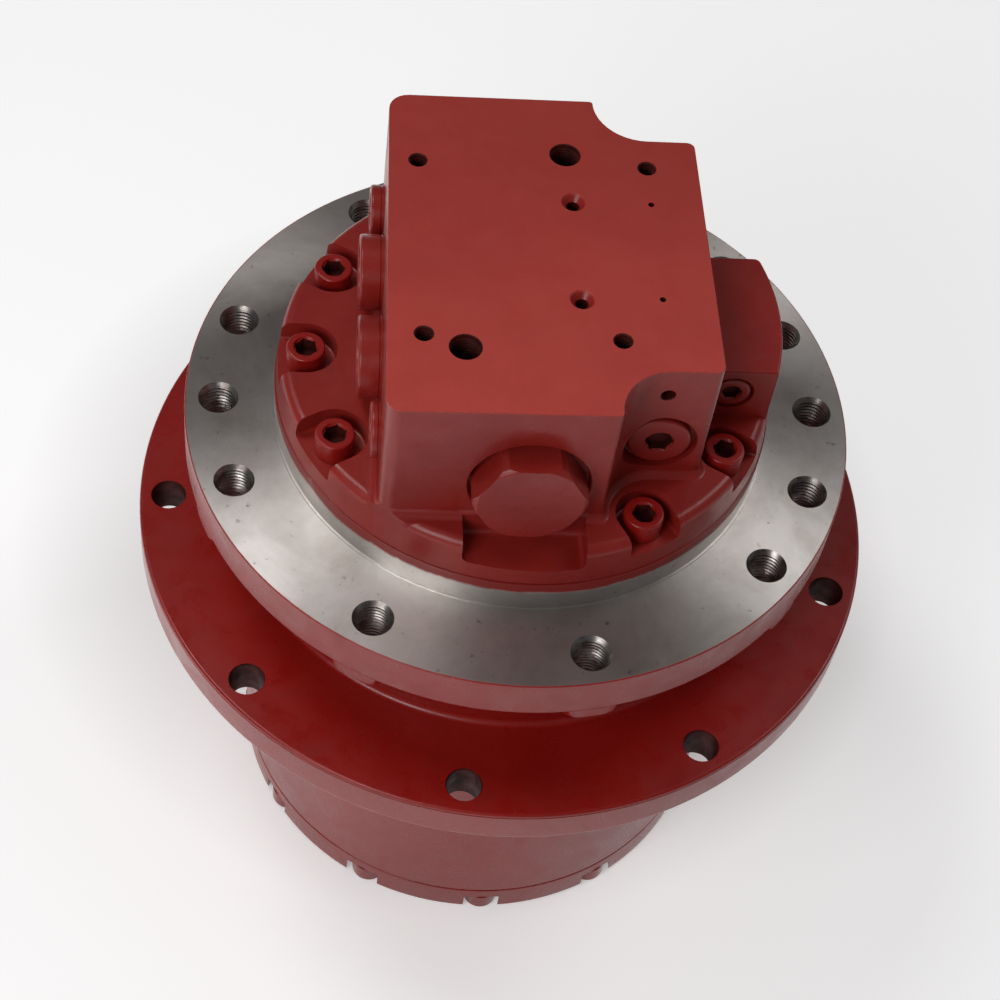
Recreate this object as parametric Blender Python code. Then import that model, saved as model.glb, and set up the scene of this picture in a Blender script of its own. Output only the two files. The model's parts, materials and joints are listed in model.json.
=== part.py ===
# Excavator final drive: a two-speed piston motor and a two-stage planetary hub in one unit.
# Metres, +Z up. The unit stands on its end cover, with the motor's valve block on top.
import math

import bmesh
import bpy
from mathutils import Matrix, Vector

# Clearances
SEAT_GAP = 0.0003
RUNNING_GAP = 0.0005
FACE_GAP = 0.0010

# Gear train: one module throughout, stubby teeth with a steep pressure angle
MODULE = 0.0035
PRESSURE_ANGLE = math.radians(25)
ADDENDUM = 0.80
DEDENDUM = 1.05
BACKLASH = 0.0005
RING_TEETH = 54
SUN_1_TEETH = 12
PLANET_1_TEETH = 21
SUN_2_TEETH = 18
PLANET_2_TEETH = 18
PLANETS = 3
STAGE_1_WIDTH = 0.022
STAGE_2_WIDTH = 0.032
CARRIER_1_THICKNESS = 0.011
CARRIER_1_RADIUS = 0.078
CARRIER_1_SCALLOP = 0.020
CARRIER_2_THICKNESS = 0.020
PIN_1_RADIUS = 0.011
PIN_2_RADIUS = 0.012
SUN_2_BORE = 0.014
SUN_SHAFT_RADIUS = 0.0092
TOOTH_RUNOUT = 0.006

# End cover
COVER_THICKNESS = 0.0165
COVER_SPIGOT = 0.0045
COVER_SPIGOT_WALL = 0.008
COVER_INNER_RECESS = 0.004
COVER_BOTTOM_RECESS = 0.002
COVER_RECESS_RADIUS = 0.072
COVER_PAD_RADIUS = 0.016
COVER_PAD_HEIGHT = 0.0035
COVER_BOLTS = 12
COVER_BOLT_POCKET = 0.011
COVER_PLUG_CIRCLE = 0.052

# Hub
RING_WALL = 0.0151
RIB_HEIGHT = 0.011
RIB_DEPTH = 0.006
FLANGE_ABOVE_BEARING = 0.0082
SPROCKET_FLANGE_THICKNESS = 0.0185
SPROCKET_BOLTS = 9
SPROCKET_BOLT_OFFSET = math.radians(20.9)
SPROCKET_HOLE_RADIUS = 0.0074
SPROCKET_EDGE = 0.0125
FRAME_TO_SPROCKET_BOLTS = 0.008
HUB_FILLET = 0.006
FLANGE_EDGE_FILLET = 0.003
NECK_WALL = 0.0085

# Main bearings and face seal
BARREL_WALL = 0.010
BEARING_SECTION = 0.025
BEARING_WIDTH = 0.024
RACE_THIN = 0.005
RACE_TAPER = 0.0045
ROLLER_RADIUS = 0.0040
ROLLERS = 12
CAGE_THICKNESS = 0.0022
SHOULDER_STEP = 0.015
SEAL_LEDGE = 0.009
SEAL_CLEARANCE = 0.004
SEAL_SECTION = 0.018
SEAL_HEIGHT = 0.016
SEAL_RING_LIP = 0.004
SEAL_RING_WEB = 0.008
LIP_THICKNESS = 0.005
LIP_LENGTH = 0.0118
LIP_GAP = 0.0015
LIP_END_GAP = 0.004
NECK_TOP_GAP = 0.003

# Spindle
FLANGE_LEDGE = 0.0113
FLANGE_THICKNESS = 0.020
FLANGE_BOSS_DEPTH = 0.005
FLANGE_BOSS_RADIUS = 0.0155
PILOT_RADIUS = 0.103
PILOT_HEIGHT = 0.015
PILOT_TO_BOLTS = 0.023
FRAME_BOLTS_TO_EDGE = 0.014
FRAME_THREAD_RADIUS = 0.0071
END_WALL = 0.020
END_WALL_LIP = 0.004
END_WALL_CLEARANCE = 0.003
EDGE_CHAMFER = 0.0010

# Motor
MAIN_SHAFT_RADIUS = 0.015
SHAFT_TIP_RADIUS = 0.011
SHAFT_TIP_LENGTH = 0.028
COUPLING_DEPTH = 0.022
COUPLING_GAP = 0.008
SWASH_RIM = 0.0068
SWASH_CLEARANCE = 0.007
SWASH_BORE = 0.021
SWASH_THICKNESS = 0.020
SWASH_ANGLE = math.radians(14)
SWASH_RELIEF = math.radians(7.5)
PIVOT_INSET = 0.005
PIVOT_RADIUS = 0.0045
SPEED_PISTON_RADIUS = 0.008
SPEED_PISTON_LENGTH = 0.013
SPEED_PISTON_DOME = 0.0018
SHOE_CLEARANCE = 0.0015
PISTONS = 9
PISTON_CIRCLE = 0.031
PISTON_RADIUS = 0.0078
SHOE_RADIUS = 0.0102
SHOE_HEIGHT = 0.005
RETAINER_THICKNESS = 0.0026
RETAINER_BAND = 0.010
PISTON_SHOWING = 0.022
PISTON_IN_BLOCK = 0.024
CYLINDER_WALL = 0.0052
CYLINDER_BLOCK_LENGTH = 0.050
CYLINDER_DEPTH = 0.034
VALVE_PLATE_THICKNESS = 0.005
VALVE_PLATE_INSET = 0.002
KIDNEY_WIDTH = 0.007
KIDNEY_ARC = math.radians(125)
BRAKE_FROM_TOP = 0.021
BRAKE_DISC_THICKNESS = 0.004
BRAKE_SPRING_SPACE = 0.005
BRAKE_PISTON_CLEARANCE = 0.0025
BRAKE_LEDGE = 0.007
SPEED_PISTON_WALL = 0.004

# Motor cover: round base, valve block and side ear
BASE_THICKNESS = 0.018
BASE_DRAFT = 0.0015
BASE_EDGE = 0.003
BASE_INSET = 0.0005
COVER_SINK = 0.006
BLOCK_HALF_LENGTH = 0.083
BLOCK_LEFT = 0.0627
BLOCK_LEFT_TAPER = 0.004
BLOCK_RIGHT = 0.065
BLOCK_HEIGHT = 0.063
NOTCH_SIDE = 0.0247
NOTCH_END = 0.061
NOTCH_FILLET = 0.021
BLOCK_FRONT_LEFT_ROUND = 0.006
BLOCK_BACK_LEFT_ROUND = 0.008
BLOCK_RIGHT_ROUND = 0.003
EAR_FRONT = 0.030
EAR_BACK = 0.0323
EAR_CORNER = 0.003
EAR_HEIGHT = 0.027
EAR_INSET = 0.0018
PORT_LEVEL = 0.0205
SPOOL_X = -0.006
RELIEF_X = 0.0460
SELECTOR_INSET = 0.0215
SELECTOR_LEVEL = 0.0141
SIDE_BOSSES = ((-0.058, 0.011, 0.0042), (-0.0215, 0.0165, 0.0097), (0.0235, 0.0155, 0.0097), (0.058, 0.011, 0.0056))

# Valve block bores, plugs and spool
SPOOL_BORE = 0.0090
SPOOL_RADIUS = 0.0087
SPOOL_NECK = 0.0062
SPOOL_TRAVEL = 0.006
SPOOL_END_SPACE = 0.012
SPOOL_LANDS = 3
HEX_PLUG_FLATS = 0.040
HEX_PLUG_STAND = 0.010
HEX_PLUG_CHAMFER = 0.0016
HEX_PLUG_THREAD = 0.0165
HEX_PLUG_THREAD_LENGTH = 0.022
HEX_COUNTERBORE = 0.0235
HEX_COUNTERBORE_DEPTH = 0.004
WRENCH_POCKET_WIDTH = 0.048
WRENCH_POCKET_DEPTH = 0.010
PLUG_SOCKET_DEPTH = 0.005
RELIEF_PLUG = {"head": 0.0125, "pocket": 0.015, "sink": 0.004, "thread": 0.0095, "length": 0.016, "socket": 0.010}
SELECTOR_PLUG = {"head": 0.0078, "pocket": 0.0091, "sink": 0.003, "thread": 0.0060, "length": 0.014, "socket": 0.007}
OIL_PLUG = {"head": 0.0110, "pocket": 0.0125, "sink": 0.005, "thread": 0.0080, "length": 0.006, "socket": 0.008}
LIFTING_HOLE = {"x": 0.0451, "level": 0.049, "radius": 0.0028, "depth": 0.012}

# Ports and tapped holes in the top face: x, y, mouth radius, bore radius, depth
TOP_HOLES = (
    (0.0113, 0.0513, 0.0064, 0.0064, 0.030),
    (-0.0326, -0.0517, 0.0064, 0.0064, 0.030),
    (-0.0480, 0.0456, 0.0038, 0.0034, 0.016),
    (-0.0480, -0.0456, 0.0038, 0.0034, 0.016),
    (0.0441, 0.0453, 0.0040, 0.0034, 0.016),
    (0.0270, -0.0467, 0.0040, 0.0034, 0.016),
    (0.0130, 0.0252, 0.0048, 0.0028, 0.018),
    (0.0130, -0.0263, 0.0048, 0.0028, 0.018),
    (0.0441, 0.0251, 0.0013, 0.0013, 0.008),
    (0.0441, -0.0252, 0.0013, 0.0013, 0.008),
)
MOUTH_DEPTH = 0.0015

# Socket head cap screws
SCREW_RADIUS = 0.005
SCREW_HEAD_RADIUS = 0.008
SCREW_HEAD_HEIGHT = 0.010
SCREW_THREAD_DEPTH = 0.014
SCREW_POCKET_DEPTH = 0.009

# Screws of the motor cover: their circle's distance from the rim of the base, then angle in degrees and pocket radius
MOTOR_SCREW_INSET = 0.0120
MOTOR_SCREWS = (
    (151.0, 0.0130),
    (180.0, 0.0130),
    (209.5, 0.0130),
    (-62.8, 0.0113),
    (-31.8, 0.0113),
    (62.8, 0.0113),
    (31.8, 0.0113),
)

# Facet counts, and the distance at which points left by a cut are welded
WELD = 0.000005
RING_STEPS = 24
TURN_STEPS = 16
HOLE_STEPS = 8
BOLT_STEPS = 6
SMALL_STEPS = 5

# Radii that follow from the gear train, the motor and the bearings
ring_pitch = MODULE * RING_TEETH / 2
ring_tip = ring_pitch - ADDENDUM * MODULE
ring_root = ring_pitch + DEDENDUM * MODULE
stage_1_radius = MODULE * (SUN_1_TEETH + PLANET_1_TEETH) / 2
stage_2_radius = MODULE * (SUN_2_TEETH + PLANET_2_TEETH) / 2
drum_radius = ring_root + RING_WALL
cover_bolt_circle = ring_root + RING_WALL / 2
spigot_seat = ring_root + RUNNING_GAP + SEAT_GAP
cylinder_block_radius = PISTON_CIRCLE + PISTON_RADIUS + CYLINDER_WALL
swash_radius = PISTON_CIRCLE + SHOE_RADIUS + SWASH_RIM
cavity_radius = max(swash_radius, cylinder_block_radius) + SWASH_CLEARANCE
pivot_circle = swash_radius - PIVOT_INSET
shaft_bearing_radius = pivot_circle - SPEED_PISTON_RADIUS - SPEED_PISTON_WALL
end_wall_bore = MAIN_SHAFT_RADIUS + END_WALL_CLEARANCE
brake_bore = cavity_radius + BRAKE_LEDGE
barrel_radius = cavity_radius + BARREL_WALL
bearing_outer = barrel_radius + BEARING_SECTION
shoulder_radius = barrel_radius + SHOULDER_STEP
seal_inner = shoulder_radius + SEAL_CLEARANCE
seal_seat = seal_inner + SEAL_SECTION
lip_outer = seal_seat + LIP_THICKNESS
neck_bore = lip_outer + LIP_GAP
neck_radius = neck_bore + NECK_WALL
frame_bolt_circle = PILOT_RADIUS + PILOT_TO_BOLTS
flange_radius = frame_bolt_circle + FRAME_BOLTS_TO_EDGE
sprocket_bolt_circle = flange_radius + FRAME_TO_SPROCKET_BOLTS
sprocket_radius = sprocket_bolt_circle + SPROCKET_EDGE
base_radius = PILOT_RADIUS - BASE_INSET
ear_radius = base_radius - EAR_INSET
selector_x = ear_radius - SELECTOR_INSET
cover_spigot_radius = brake_bore - SEAT_GAP

# Levels, stacked from the floor to the top of the valve block
cover_top = COVER_THICKNESS
spigot_top = cover_top + COVER_SPIGOT
pad_top = cover_top + COVER_PAD_HEIGHT
stage_1_low = spigot_top + FACE_GAP
stage_1_high = stage_1_low + STAGE_1_WIDTH
carrier_1_low = stage_1_high + SEAT_GAP
carrier_1_high = carrier_1_low + CARRIER_1_THICKNESS
stage_2_low = carrier_1_high + FACE_GAP
stage_2_high = stage_2_low + STAGE_2_WIDTH
carrier_2_low = stage_2_high + SEAT_GAP
carrier_2_high = carrier_2_low + CARRIER_2_THICKNESS
barrel_low = carrier_2_high + SEAT_GAP
lower_bearing_low = barrel_low
lower_bearing_high = lower_bearing_low + BEARING_WIDTH
rib_low = lower_bearing_high + SEAT_GAP
rib_high = rib_low + RIB_HEIGHT
upper_bearing_low = rib_high + SEAT_GAP
upper_bearing_high = upper_bearing_low + BEARING_WIDTH
shoulder_level = upper_bearing_high + SEAT_GAP
sprocket_top = upper_bearing_high + FLANGE_ABOVE_BEARING
sprocket_low = sprocket_top - SPROCKET_FLANGE_THICKNESS
seal_ledge_low = upper_bearing_high + SEAL_LEDGE
seal_mid = seal_ledge_low + SEAT_GAP + SEAL_HEIGHT
seal_ledge_high = seal_mid + SEAT_GAP + SEAL_HEIGHT + SEAT_GAP
lip_low = seal_ledge_high - LIP_LENGTH
flange_under = seal_ledge_high + FLANGE_LEDGE
boss_under = flange_under - FLANGE_BOSS_DEPTH
flange_face = flange_under + FLANGE_THICKNESS
neck_top = boss_under - NECK_TOP_GAP
pilot_top = flange_face + PILOT_HEIGHT
cavity_floor = barrel_low + END_WALL
swash_face = cavity_floor + SEAT_GAP + SWASH_THICKNESS
shoe_low = swash_face + swash_radius * math.tan(SWASH_ANGLE) + SHOE_CLEARANCE
block_low = shoe_low + PISTON_SHOWING
block_high = block_low + CYLINDER_BLOCK_LENGTH
valve_plate_low = block_high + SEAT_GAP
valve_plate_high = valve_plate_low + VALVE_PLATE_THICKNESS
motor_spigot_low = valve_plate_high + SEAT_GAP
motor_cover_low = pilot_top + SEAT_GAP
base_top = pilot_top + BASE_THICKNESS
block_top = base_top + BLOCK_HEIGHT
port_level = base_top + PORT_LEVEL
brake_ledge = block_high - BRAKE_FROM_TOP
brake_disc_low = brake_ledge + SEAT_GAP
brake_disc_high = brake_disc_low + BRAKE_DISC_THICKNESS
brake_piston_low = brake_disc_high + SEAT_GAP
brake_piston_high = motor_spigot_low - BRAKE_SPRING_SPACE
coupling_low = stage_2_high + COUPLING_GAP
shaft_tip_top = base_top - BASE_THICKNESS + COVER_SINK
screw_floor = base_top - SCREW_POCKET_DEPTH


# Paint, bare steel and the other finishes
def make_material(name, colour, roughness, metallic):
    material = bpy.data.materials.new(name)
    material.use_nodes = True
    shader = material.node_tree.nodes["Principled BSDF"]
    shader.inputs["Base Color"].default_value = (*colour, 1)
    shader.inputs["Roughness"].default_value = roughness
    shader.inputs["Metallic"].default_value = metallic
    return material


for leftover in list(bpy.data.objects):
    bpy.data.objects.remove(leftover)

MATERIALS = {
    "red_paint": make_material("red_paint", (0.32, 0.035, 0.028), 0.45, 0.0),
    "red_block": make_material("red_block", (0.42, 0.06, 0.045), 0.50, 0.0),
    "bare_steel": make_material("bare_steel", (0.55, 0.53, 0.50), 0.35, 1.0),
    "gear_steel": make_material("gear_steel", (0.34, 0.34, 0.35), 0.30, 1.0),
    "bearing_steel": make_material("bearing_steel", (0.62, 0.62, 0.63), 0.20, 1.0),
    "bronze": make_material("bronze", (0.55, 0.36, 0.16), 0.35, 1.0),
    "rubber": make_material("rubber", (0.03, 0.03, 0.03), 0.80, 0.0),
    "friction": make_material("friction", (0.12, 0.10, 0.08), 0.85, 0.0),
}


# Mesh helpers
def flats_radius(radius, steps):
    """Corner radius of a polygon whose flats lie at the given radius."""
    return radius / math.cos(math.pi / steps)


def add_object(name, mesh_builder, material=None, location=(0, 0, 0)):
    """Turn a bmesh into an object with outward faces."""
    bmesh.ops.remove_doubles(mesh_builder, verts=mesh_builder.verts, dist=1e-7)
    bmesh.ops.recalc_face_normals(mesh_builder, faces=mesh_builder.faces)
    mesh = bpy.data.meshes.new(name)
    mesh_builder.to_mesh(mesh)
    mesh_builder.free()
    obj = bpy.data.objects.new(name, mesh)
    bpy.context.collection.objects.link(obj)
    obj.location = location
    if material:
        mesh.materials.append(MATERIALS[material])
    return obj


def turn(builder, profile, steps):
    """Spin a closed outline of (radius, height) points about Z; points on the axis are allowed."""
    verts = [builder.verts.new((radius, 0, height)) for radius, height in profile]
    edges = []
    for index, vert in enumerate(verts):
        following = verts[(index + 1) % len(verts)]
        if max(vert.co.x, following.co.x) > 0:
            edges.append(builder.edges.new((vert, following)))
    bmesh.ops.spin(builder, geom=verts + edges, cent=(0, 0, 0), axis=(0, 0, 1), angle=math.tau, steps=steps,
                   use_merge=True)
    bmesh.ops.remove_doubles(builder, verts=builder.verts, dist=1e-7)


def turned(name, profile, steps, material=None, location=(0, 0, 0)):
    builder = bmesh.new()
    turn(builder, profile, steps)
    return add_object(name, builder, material, location)


def prism(builder, outline, low, high):
    """Extrude a closed outline of (x, y) points from one level to another."""
    face = builder.faces.new([builder.verts.new((x, y, low)) for x, y in outline])
    raised = bmesh.ops.extrude_face_region(builder, geom=[face])
    top = [item for item in raised["geom"] if isinstance(item, bmesh.types.BMVert)]
    bmesh.ops.translate(builder, vec=(0, 0, high - low), verts=top)


def prism_object(name, outline, low, high, material=None, location=(0, 0, 0)):
    builder = bmesh.new()
    prism(builder, outline, low, high)
    return add_object(name, builder, material, location)


def add_turned(builder, profile, steps, matrix):
    """Add one closed turned body to a builder, moved into place by a matrix."""
    single = bmesh.new()
    turn(single, profile, steps)
    bmesh.ops.recalc_face_normals(single, faces=single.faces)
    bmesh.ops.transform(single, matrix=matrix, verts=single.verts)
    scratch = bpy.data.meshes.new("scratch")
    single.to_mesh(scratch)
    single.free()
    builder.from_mesh(scratch)
    bpy.data.meshes.remove(scratch)


def turned_bars(name, places, profile, steps, axis=(0, 0, 1)):
    """One tool made of equal turned bars, each with its foot at a place and its length along axis."""
    builder = bmesh.new()
    upright = Vector((0, 0, 1)).rotation_difference(Vector(axis)).to_matrix().to_4x4()
    for place in places:
        add_turned(builder, profile, steps, Matrix.Translation(place) @ upright)
    return add_object(name, builder)


def apply_boolean(obj, tool, operation="DIFFERENCE"):
    """Cut or join with a tool object, keep the result as the mesh and drop the tool."""
    tool.hide_render = True
    tool.display_type = "WIRE"
    modifier = obj.modifiers.new("shape", "BOOLEAN")
    modifier.operation = operation
    modifier.solver = "EXACT"
    modifier.object = tool
    bpy.context.view_layer.update()
    depsgraph = bpy.context.evaluated_depsgraph_get()
    result = bpy.data.meshes.new_from_object(obj.evaluated_get(depsgraph))
    obj.modifiers.clear()
    cleaner = bmesh.new()
    cleaner.from_mesh(result)
    bmesh.ops.remove_doubles(cleaner, verts=cleaner.verts, dist=WELD)
    bmesh.ops.dissolve_degenerate(cleaner, edges=cleaner.edges, dist=WELD)
    cleaner.to_mesh(result)
    cleaner.free()
    obj.data = result
    bpy.data.objects.remove(tool)


def finish(obj, material):
    """Give the finished mesh one material and smooth round faces."""
    mesh = obj.data
    mesh.materials.clear()
    mesh.materials.append(MATERIALS[material])
    for polygon in mesh.polygons:
        polygon.material_index = 0
    mesh.shade_smooth()
    mesh.set_sharp_from_angle(angle=math.radians(32))
    return obj


def copy_of(obj, name, location, rotation=(0, 0, 0)):
    twin = bpy.data.objects.new(name, obj.data)
    twin.location = location
    twin.rotation_euler = rotation
    bpy.context.collection.objects.link(twin)
    return twin


def on_circle(radius, angle, level=0.0):
    return (radius * math.cos(angle), radius * math.sin(angle), level)


def ring_profile(inner, outer, low, high, chamfer=0.0):
    if chamfer:
        return [(inner, low), (outer - chamfer, low), (outer, low + chamfer), (outer, high - chamfer),
                (outer - chamfer, high), (inner, high)]
    return [(inner, low), (outer, low), (outer, high), (inner, high)]


def arc(centre_x, centre_y, radius, start, end, steps):
    """Points along an arc, both ends included, angles in degrees."""
    points = []
    for i in range(steps + 1):
        angle = math.radians(start + (end - start) * i / steps)
        points.append((centre_x + radius * math.cos(angle), centre_y + radius * math.sin(angle)))
    return points


def hexagon(flats, turn_angle=0.0):
    corner = flats / math.sqrt(3)
    return [(corner * math.cos(turn_angle + i * math.pi / 3), corner * math.sin(turn_angle + i * math.pi / 3))
            for i in range(6)]


# Involute teeth
def involute(angle):
    return math.tan(angle) - angle


def gear_outline(teeth, low_factor, high_factor, widen, phase=0.0, grow=0.0):
    """Outline with one tooth centred on the phase angle: a foot and a crest point on each flank."""
    pitch = MODULE * teeth / 2
    base = pitch * math.cos(PRESSURE_ANGLE)
    half_at_pitch = math.pi / (2 * teeth) + (widen + grow) / pitch
    foot = pitch - low_factor * MODULE
    crest = pitch + high_factor * MODULE
    levels = (foot, crest)
    halves = []
    for radius in levels:
        local = math.acos(min(1.0, base / radius))
        halves.append(half_at_pitch + involute(PRESSURE_ANGLE) - involute(local))
    outline = []
    for tooth in range(teeth):
        middle = phase + tooth * math.tau / teeth
        for radius, half in zip(levels, halves):
            outline.append(((radius + grow) * math.cos(middle - half), (radius + grow) * math.sin(middle - half)))
        for radius, half in zip(reversed(levels), reversed(halves)):
            outline.append(((radius + grow) * math.cos(middle + half), (radius + grow) * math.sin(middle + half)))
    return outline


def sun_phase(sun_teeth, planet_teeth, planet_angle=0.0):
    """Angle of a sun tooth that meshes with planets whose ring has a gap at angle zero."""
    return ((sun_teeth + RING_TEETH) * planet_angle + (planet_teeth - 1) * math.pi) / sun_teeth


def planet_phase(planet_teeth, planet_angle):
    """Angle of a planet tooth that enters the ring's gaps."""
    return planet_angle - planet_angle * RING_TEETH / planet_teeth


def toothed_gear(name, teeth, phase, low, high, bore, location=(0, 0, 0)):
    """External gear with a round bore."""
    outline = gear_outline(teeth, DEDENDUM, ADDENDUM, -BACKLASH / 2, phase)
    gear = prism_object(name, outline, low, high, location=location)
    hole = turned_bars("bore", [location], ring_profile(0, flats_radius(bore, TURN_STEPS // 2), low - FACE_GAP,
                        high + FACE_GAP), TURN_STEPS // 2)
    apply_boolean(gear, hole)
    return finish(gear, "gear_steel")


# Screws and plugs
def cap_screw_mesh(name, grip):
    """Socket head cap screw, head seat at height zero, head upwards, with its thread below."""
    reach = grip + SCREW_THREAD_DEPTH
    screw = turned(name, [
        (0, -reach),
        (SCREW_RADIUS, -reach),
        (SCREW_RADIUS, SEAT_GAP),
        (SCREW_HEAD_RADIUS, SEAT_GAP),
        (SCREW_HEAD_RADIUS, SCREW_HEAD_HEIGHT),
        (0, SCREW_HEAD_HEIGHT),
    ], HOLE_STEPS)
    return finish(screw, "red_paint")


def socket_plug(name, sizes, place, axis, material="red_block"):
    """Screw plug with a hexagon socket, its head flush with the face at place and pointing along axis."""
    seat = SEAT_GAP - sizes["sink"]
    plug = turned(name, [
        (0, -sizes["sink"] - sizes["length"]),
        (sizes["thread"] - SEAT_GAP, -sizes["sink"] - sizes["length"]),
        (sizes["thread"] - SEAT_GAP, seat),
        (sizes["head"], seat),
        (sizes["head"], 0),
        (0, 0),
    ], HOLE_STEPS)
    socket = prism_object("socket", hexagon(sizes["socket"]), -min(PLUG_SOCKET_DEPTH, sizes["sink"]), FACE_GAP)
    apply_boolean(plug, socket)
    finish(plug, material)
    plug.location = place
    plug.rotation_euler = Vector((0, 0, 1)).rotation_difference(Vector(axis)).to_euler()
    return plug


def plug_hole(sizes, place, axis, reach=FACE_GAP):
    """Stepped hole for a socket plug, open at place and cleared outwards over the reach."""
    return turned_bars("plug_hole", [place], [
        (0, -sizes["sink"] - sizes["length"] - FACE_GAP),
        (flats_radius(sizes["thread"], HOLE_STEPS), -sizes["sink"] - sizes["length"] - FACE_GAP),
        (flats_radius(sizes["thread"], HOLE_STEPS), -sizes["sink"]),
        (flats_radius(sizes["pocket"], HOLE_STEPS), -sizes["sink"]),
        (flats_radius(sizes["pocket"], HOLE_STEPS), reach),
        (0, reach),
    ], HOLE_STEPS, axis)


# End cover with its bolts and oil plugs
cover_bolt_angles = [i * math.tau / COVER_BOLTS for i in range(COVER_BOLTS)]
cover_bolt_seat = SCREW_HEAD_HEIGHT + SEAT_GAP
oil_plug_angles = (math.radians(75), math.radians(255))


def build_end_cover():
    spigot = spigot_seat - SEAT_GAP
    cover = turned("end_cover", [
        (0, COVER_BOTTOM_RECESS),
        (COVER_RECESS_RADIUS, COVER_BOTTOM_RECESS),
        (COVER_RECESS_RADIUS + COVER_BOTTOM_RECESS, 0),
        (drum_radius - 2 * EDGE_CHAMFER, 0),
        (drum_radius, 2 * EDGE_CHAMFER),
        (drum_radius, cover_top),
        (spigot, cover_top),
        (spigot, spigot_top),
        (spigot - COVER_SPIGOT_WALL, spigot_top),
        (spigot - COVER_SPIGOT_WALL - COVER_INNER_RECESS, cover_top - COVER_INNER_RECESS),
        (COVER_PAD_RADIUS + COVER_INNER_RECESS, cover_top - COVER_INNER_RECESS),
        (COVER_PAD_RADIUS, cover_top),
        (COVER_PAD_RADIUS, pad_top),
        (0, pad_top),
    ], RING_STEPS)
    pocket = flats_radius(COVER_BOLT_POCKET, HOLE_STEPS)
    hole = flats_radius(SCREW_RADIUS + SEAT_GAP, HOLE_STEPS)
    bolt_cut = [
        (0, -FACE_GAP),
        (pocket, -FACE_GAP),
        (pocket, cover_bolt_seat),
        (hole, cover_bolt_seat),
        (hole, cover_top + FACE_GAP),
        (0, cover_top + FACE_GAP),
    ]
    places = [on_circle(cover_bolt_circle, angle) for angle in cover_bolt_angles]
    apply_boolean(cover, turned_bars("bolt_cut", places, bolt_cut, HOLE_STEPS))
    for angle in oil_plug_angles:
        place = on_circle(COVER_PLUG_CIRCLE, angle, COVER_BOTTOM_RECESS)
        apply_boolean(cover, plug_hole(OIL_PLUG, place, (0, 0, -1)))
    finish(cover, "red_paint")
    for name, angle in zip(("fill_plug", "drain_plug"), oil_plug_angles):
        place = on_circle(COVER_PLUG_CIRCLE, angle, COVER_BOTTOM_RECESS)
        socket_plug(name, OIL_PLUG, place, (0, 0, -1), "red_paint")
    bolt = cap_screw_mesh("cover_bolt_01", cover_top - cover_bolt_seat)
    bolt.location = on_circle(cover_bolt_circle, 0, cover_bolt_seat)
    bolt.rotation_euler = (math.pi, 0, 0)
    for index, angle in enumerate(cover_bolt_angles[1:], start=2):
        place = on_circle(cover_bolt_circle, angle, cover_bolt_seat)
        copy_of(bolt, f"cover_bolt_{index:02d}", place, (math.pi, 0, 0))


# Hub: ring gear drum, sprocket flange and seal neck in one casting
def build_hub():
    drum_low = cover_top + SEAT_GAP
    third = math.sqrt(0.5)
    fillet = HUB_FILLET
    edge = FLANGE_EDGE_FILLET
    seat = spigot_seat
    rib = bearing_outer - RIB_DEPTH
    bore = bearing_outer + SEAT_GAP
    seal_bore = flats_radius(seal_seat, RING_STEPS)
    seal_step = lip_low - LIP_END_GAP
    gear_bore = ring_tip - FACE_GAP
    gear_bore_high = stage_2_high + TOOTH_RUNOUT / 2
    hub = turned("hub", [
        (seat, drum_low),
        (drum_radius, drum_low),
        (drum_radius, sprocket_low - fillet),
        (drum_radius + fillet * (1 - third), sprocket_low - fillet * (1 - third)),
        (drum_radius + fillet, sprocket_low),
        (sprocket_radius, sprocket_low),
        (sprocket_radius, sprocket_top - edge),
        (sprocket_radius - edge, sprocket_top),
        (neck_radius, sprocket_top),
        (neck_radius, neck_top),
        (neck_bore, neck_top),
        (neck_bore, seal_step),
        (seal_bore, seal_step),
        (seal_bore, seal_ledge_low),
        (bore, seal_ledge_low),
        (bore, rib_high),
        (rib, rib_high),
        (rib, rib_low),
        (bore, rib_low),
        (bore, gear_bore_high),
        (gear_bore, gear_bore_high),
        (gear_bore, spigot_top + SEAT_GAP),
        (seat, spigot_top + SEAT_GAP),
    ], RING_STEPS)
    spaces = gear_outline(RING_TEETH, ADDENDUM, DEDENDUM, BACKLASH / 2)
    apply_boolean(hub, prism_object("spaces", spaces, cover_top, stage_2_high + TOOTH_RUNOUT))
    hole = flats_radius(SPROCKET_HOLE_RADIUS, HOLE_STEPS)
    places = [on_circle(sprocket_bolt_circle, SPROCKET_BOLT_OFFSET + i * math.tau / SPROCKET_BOLTS)
              for i in range(SPROCKET_BOLTS)]
    sprocket_cut = ring_profile(0, hole, sprocket_low - FACE_GAP, sprocket_top + FACE_GAP)
    apply_boolean(hub, turned_bars("sprocket_cut", places, sprocket_cut, HOLE_STEPS))
    hole = flats_radius(SCREW_RADIUS + SEAT_GAP, BOLT_STEPS)
    places = [on_circle(cover_bolt_circle, angle) for angle in cover_bolt_angles]
    thread_end = cover_top + SCREW_THREAD_DEPTH + FACE_GAP
    apply_boolean(hub, turned_bars("bolt_cut", places, ring_profile(0, hole, cover_top - FACE_GAP, thread_end),
                                    BOLT_STEPS))
    finish(hub, "red_paint")


# Spindle: frame flange, pilot and bearing barrel round the motor cavity
FRAME_HOLE_ANGLES = [math.radians(40 * i) for i in range(9)] + [math.radians(a) for a in (20, 180, 340)]
motor_screw_circle = base_radius - MOTOR_SCREW_INSET
motor_screw_places = [on_circle(motor_screw_circle, math.radians(degrees))[:2] for degrees, _ in MOTOR_SCREWS]


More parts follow.
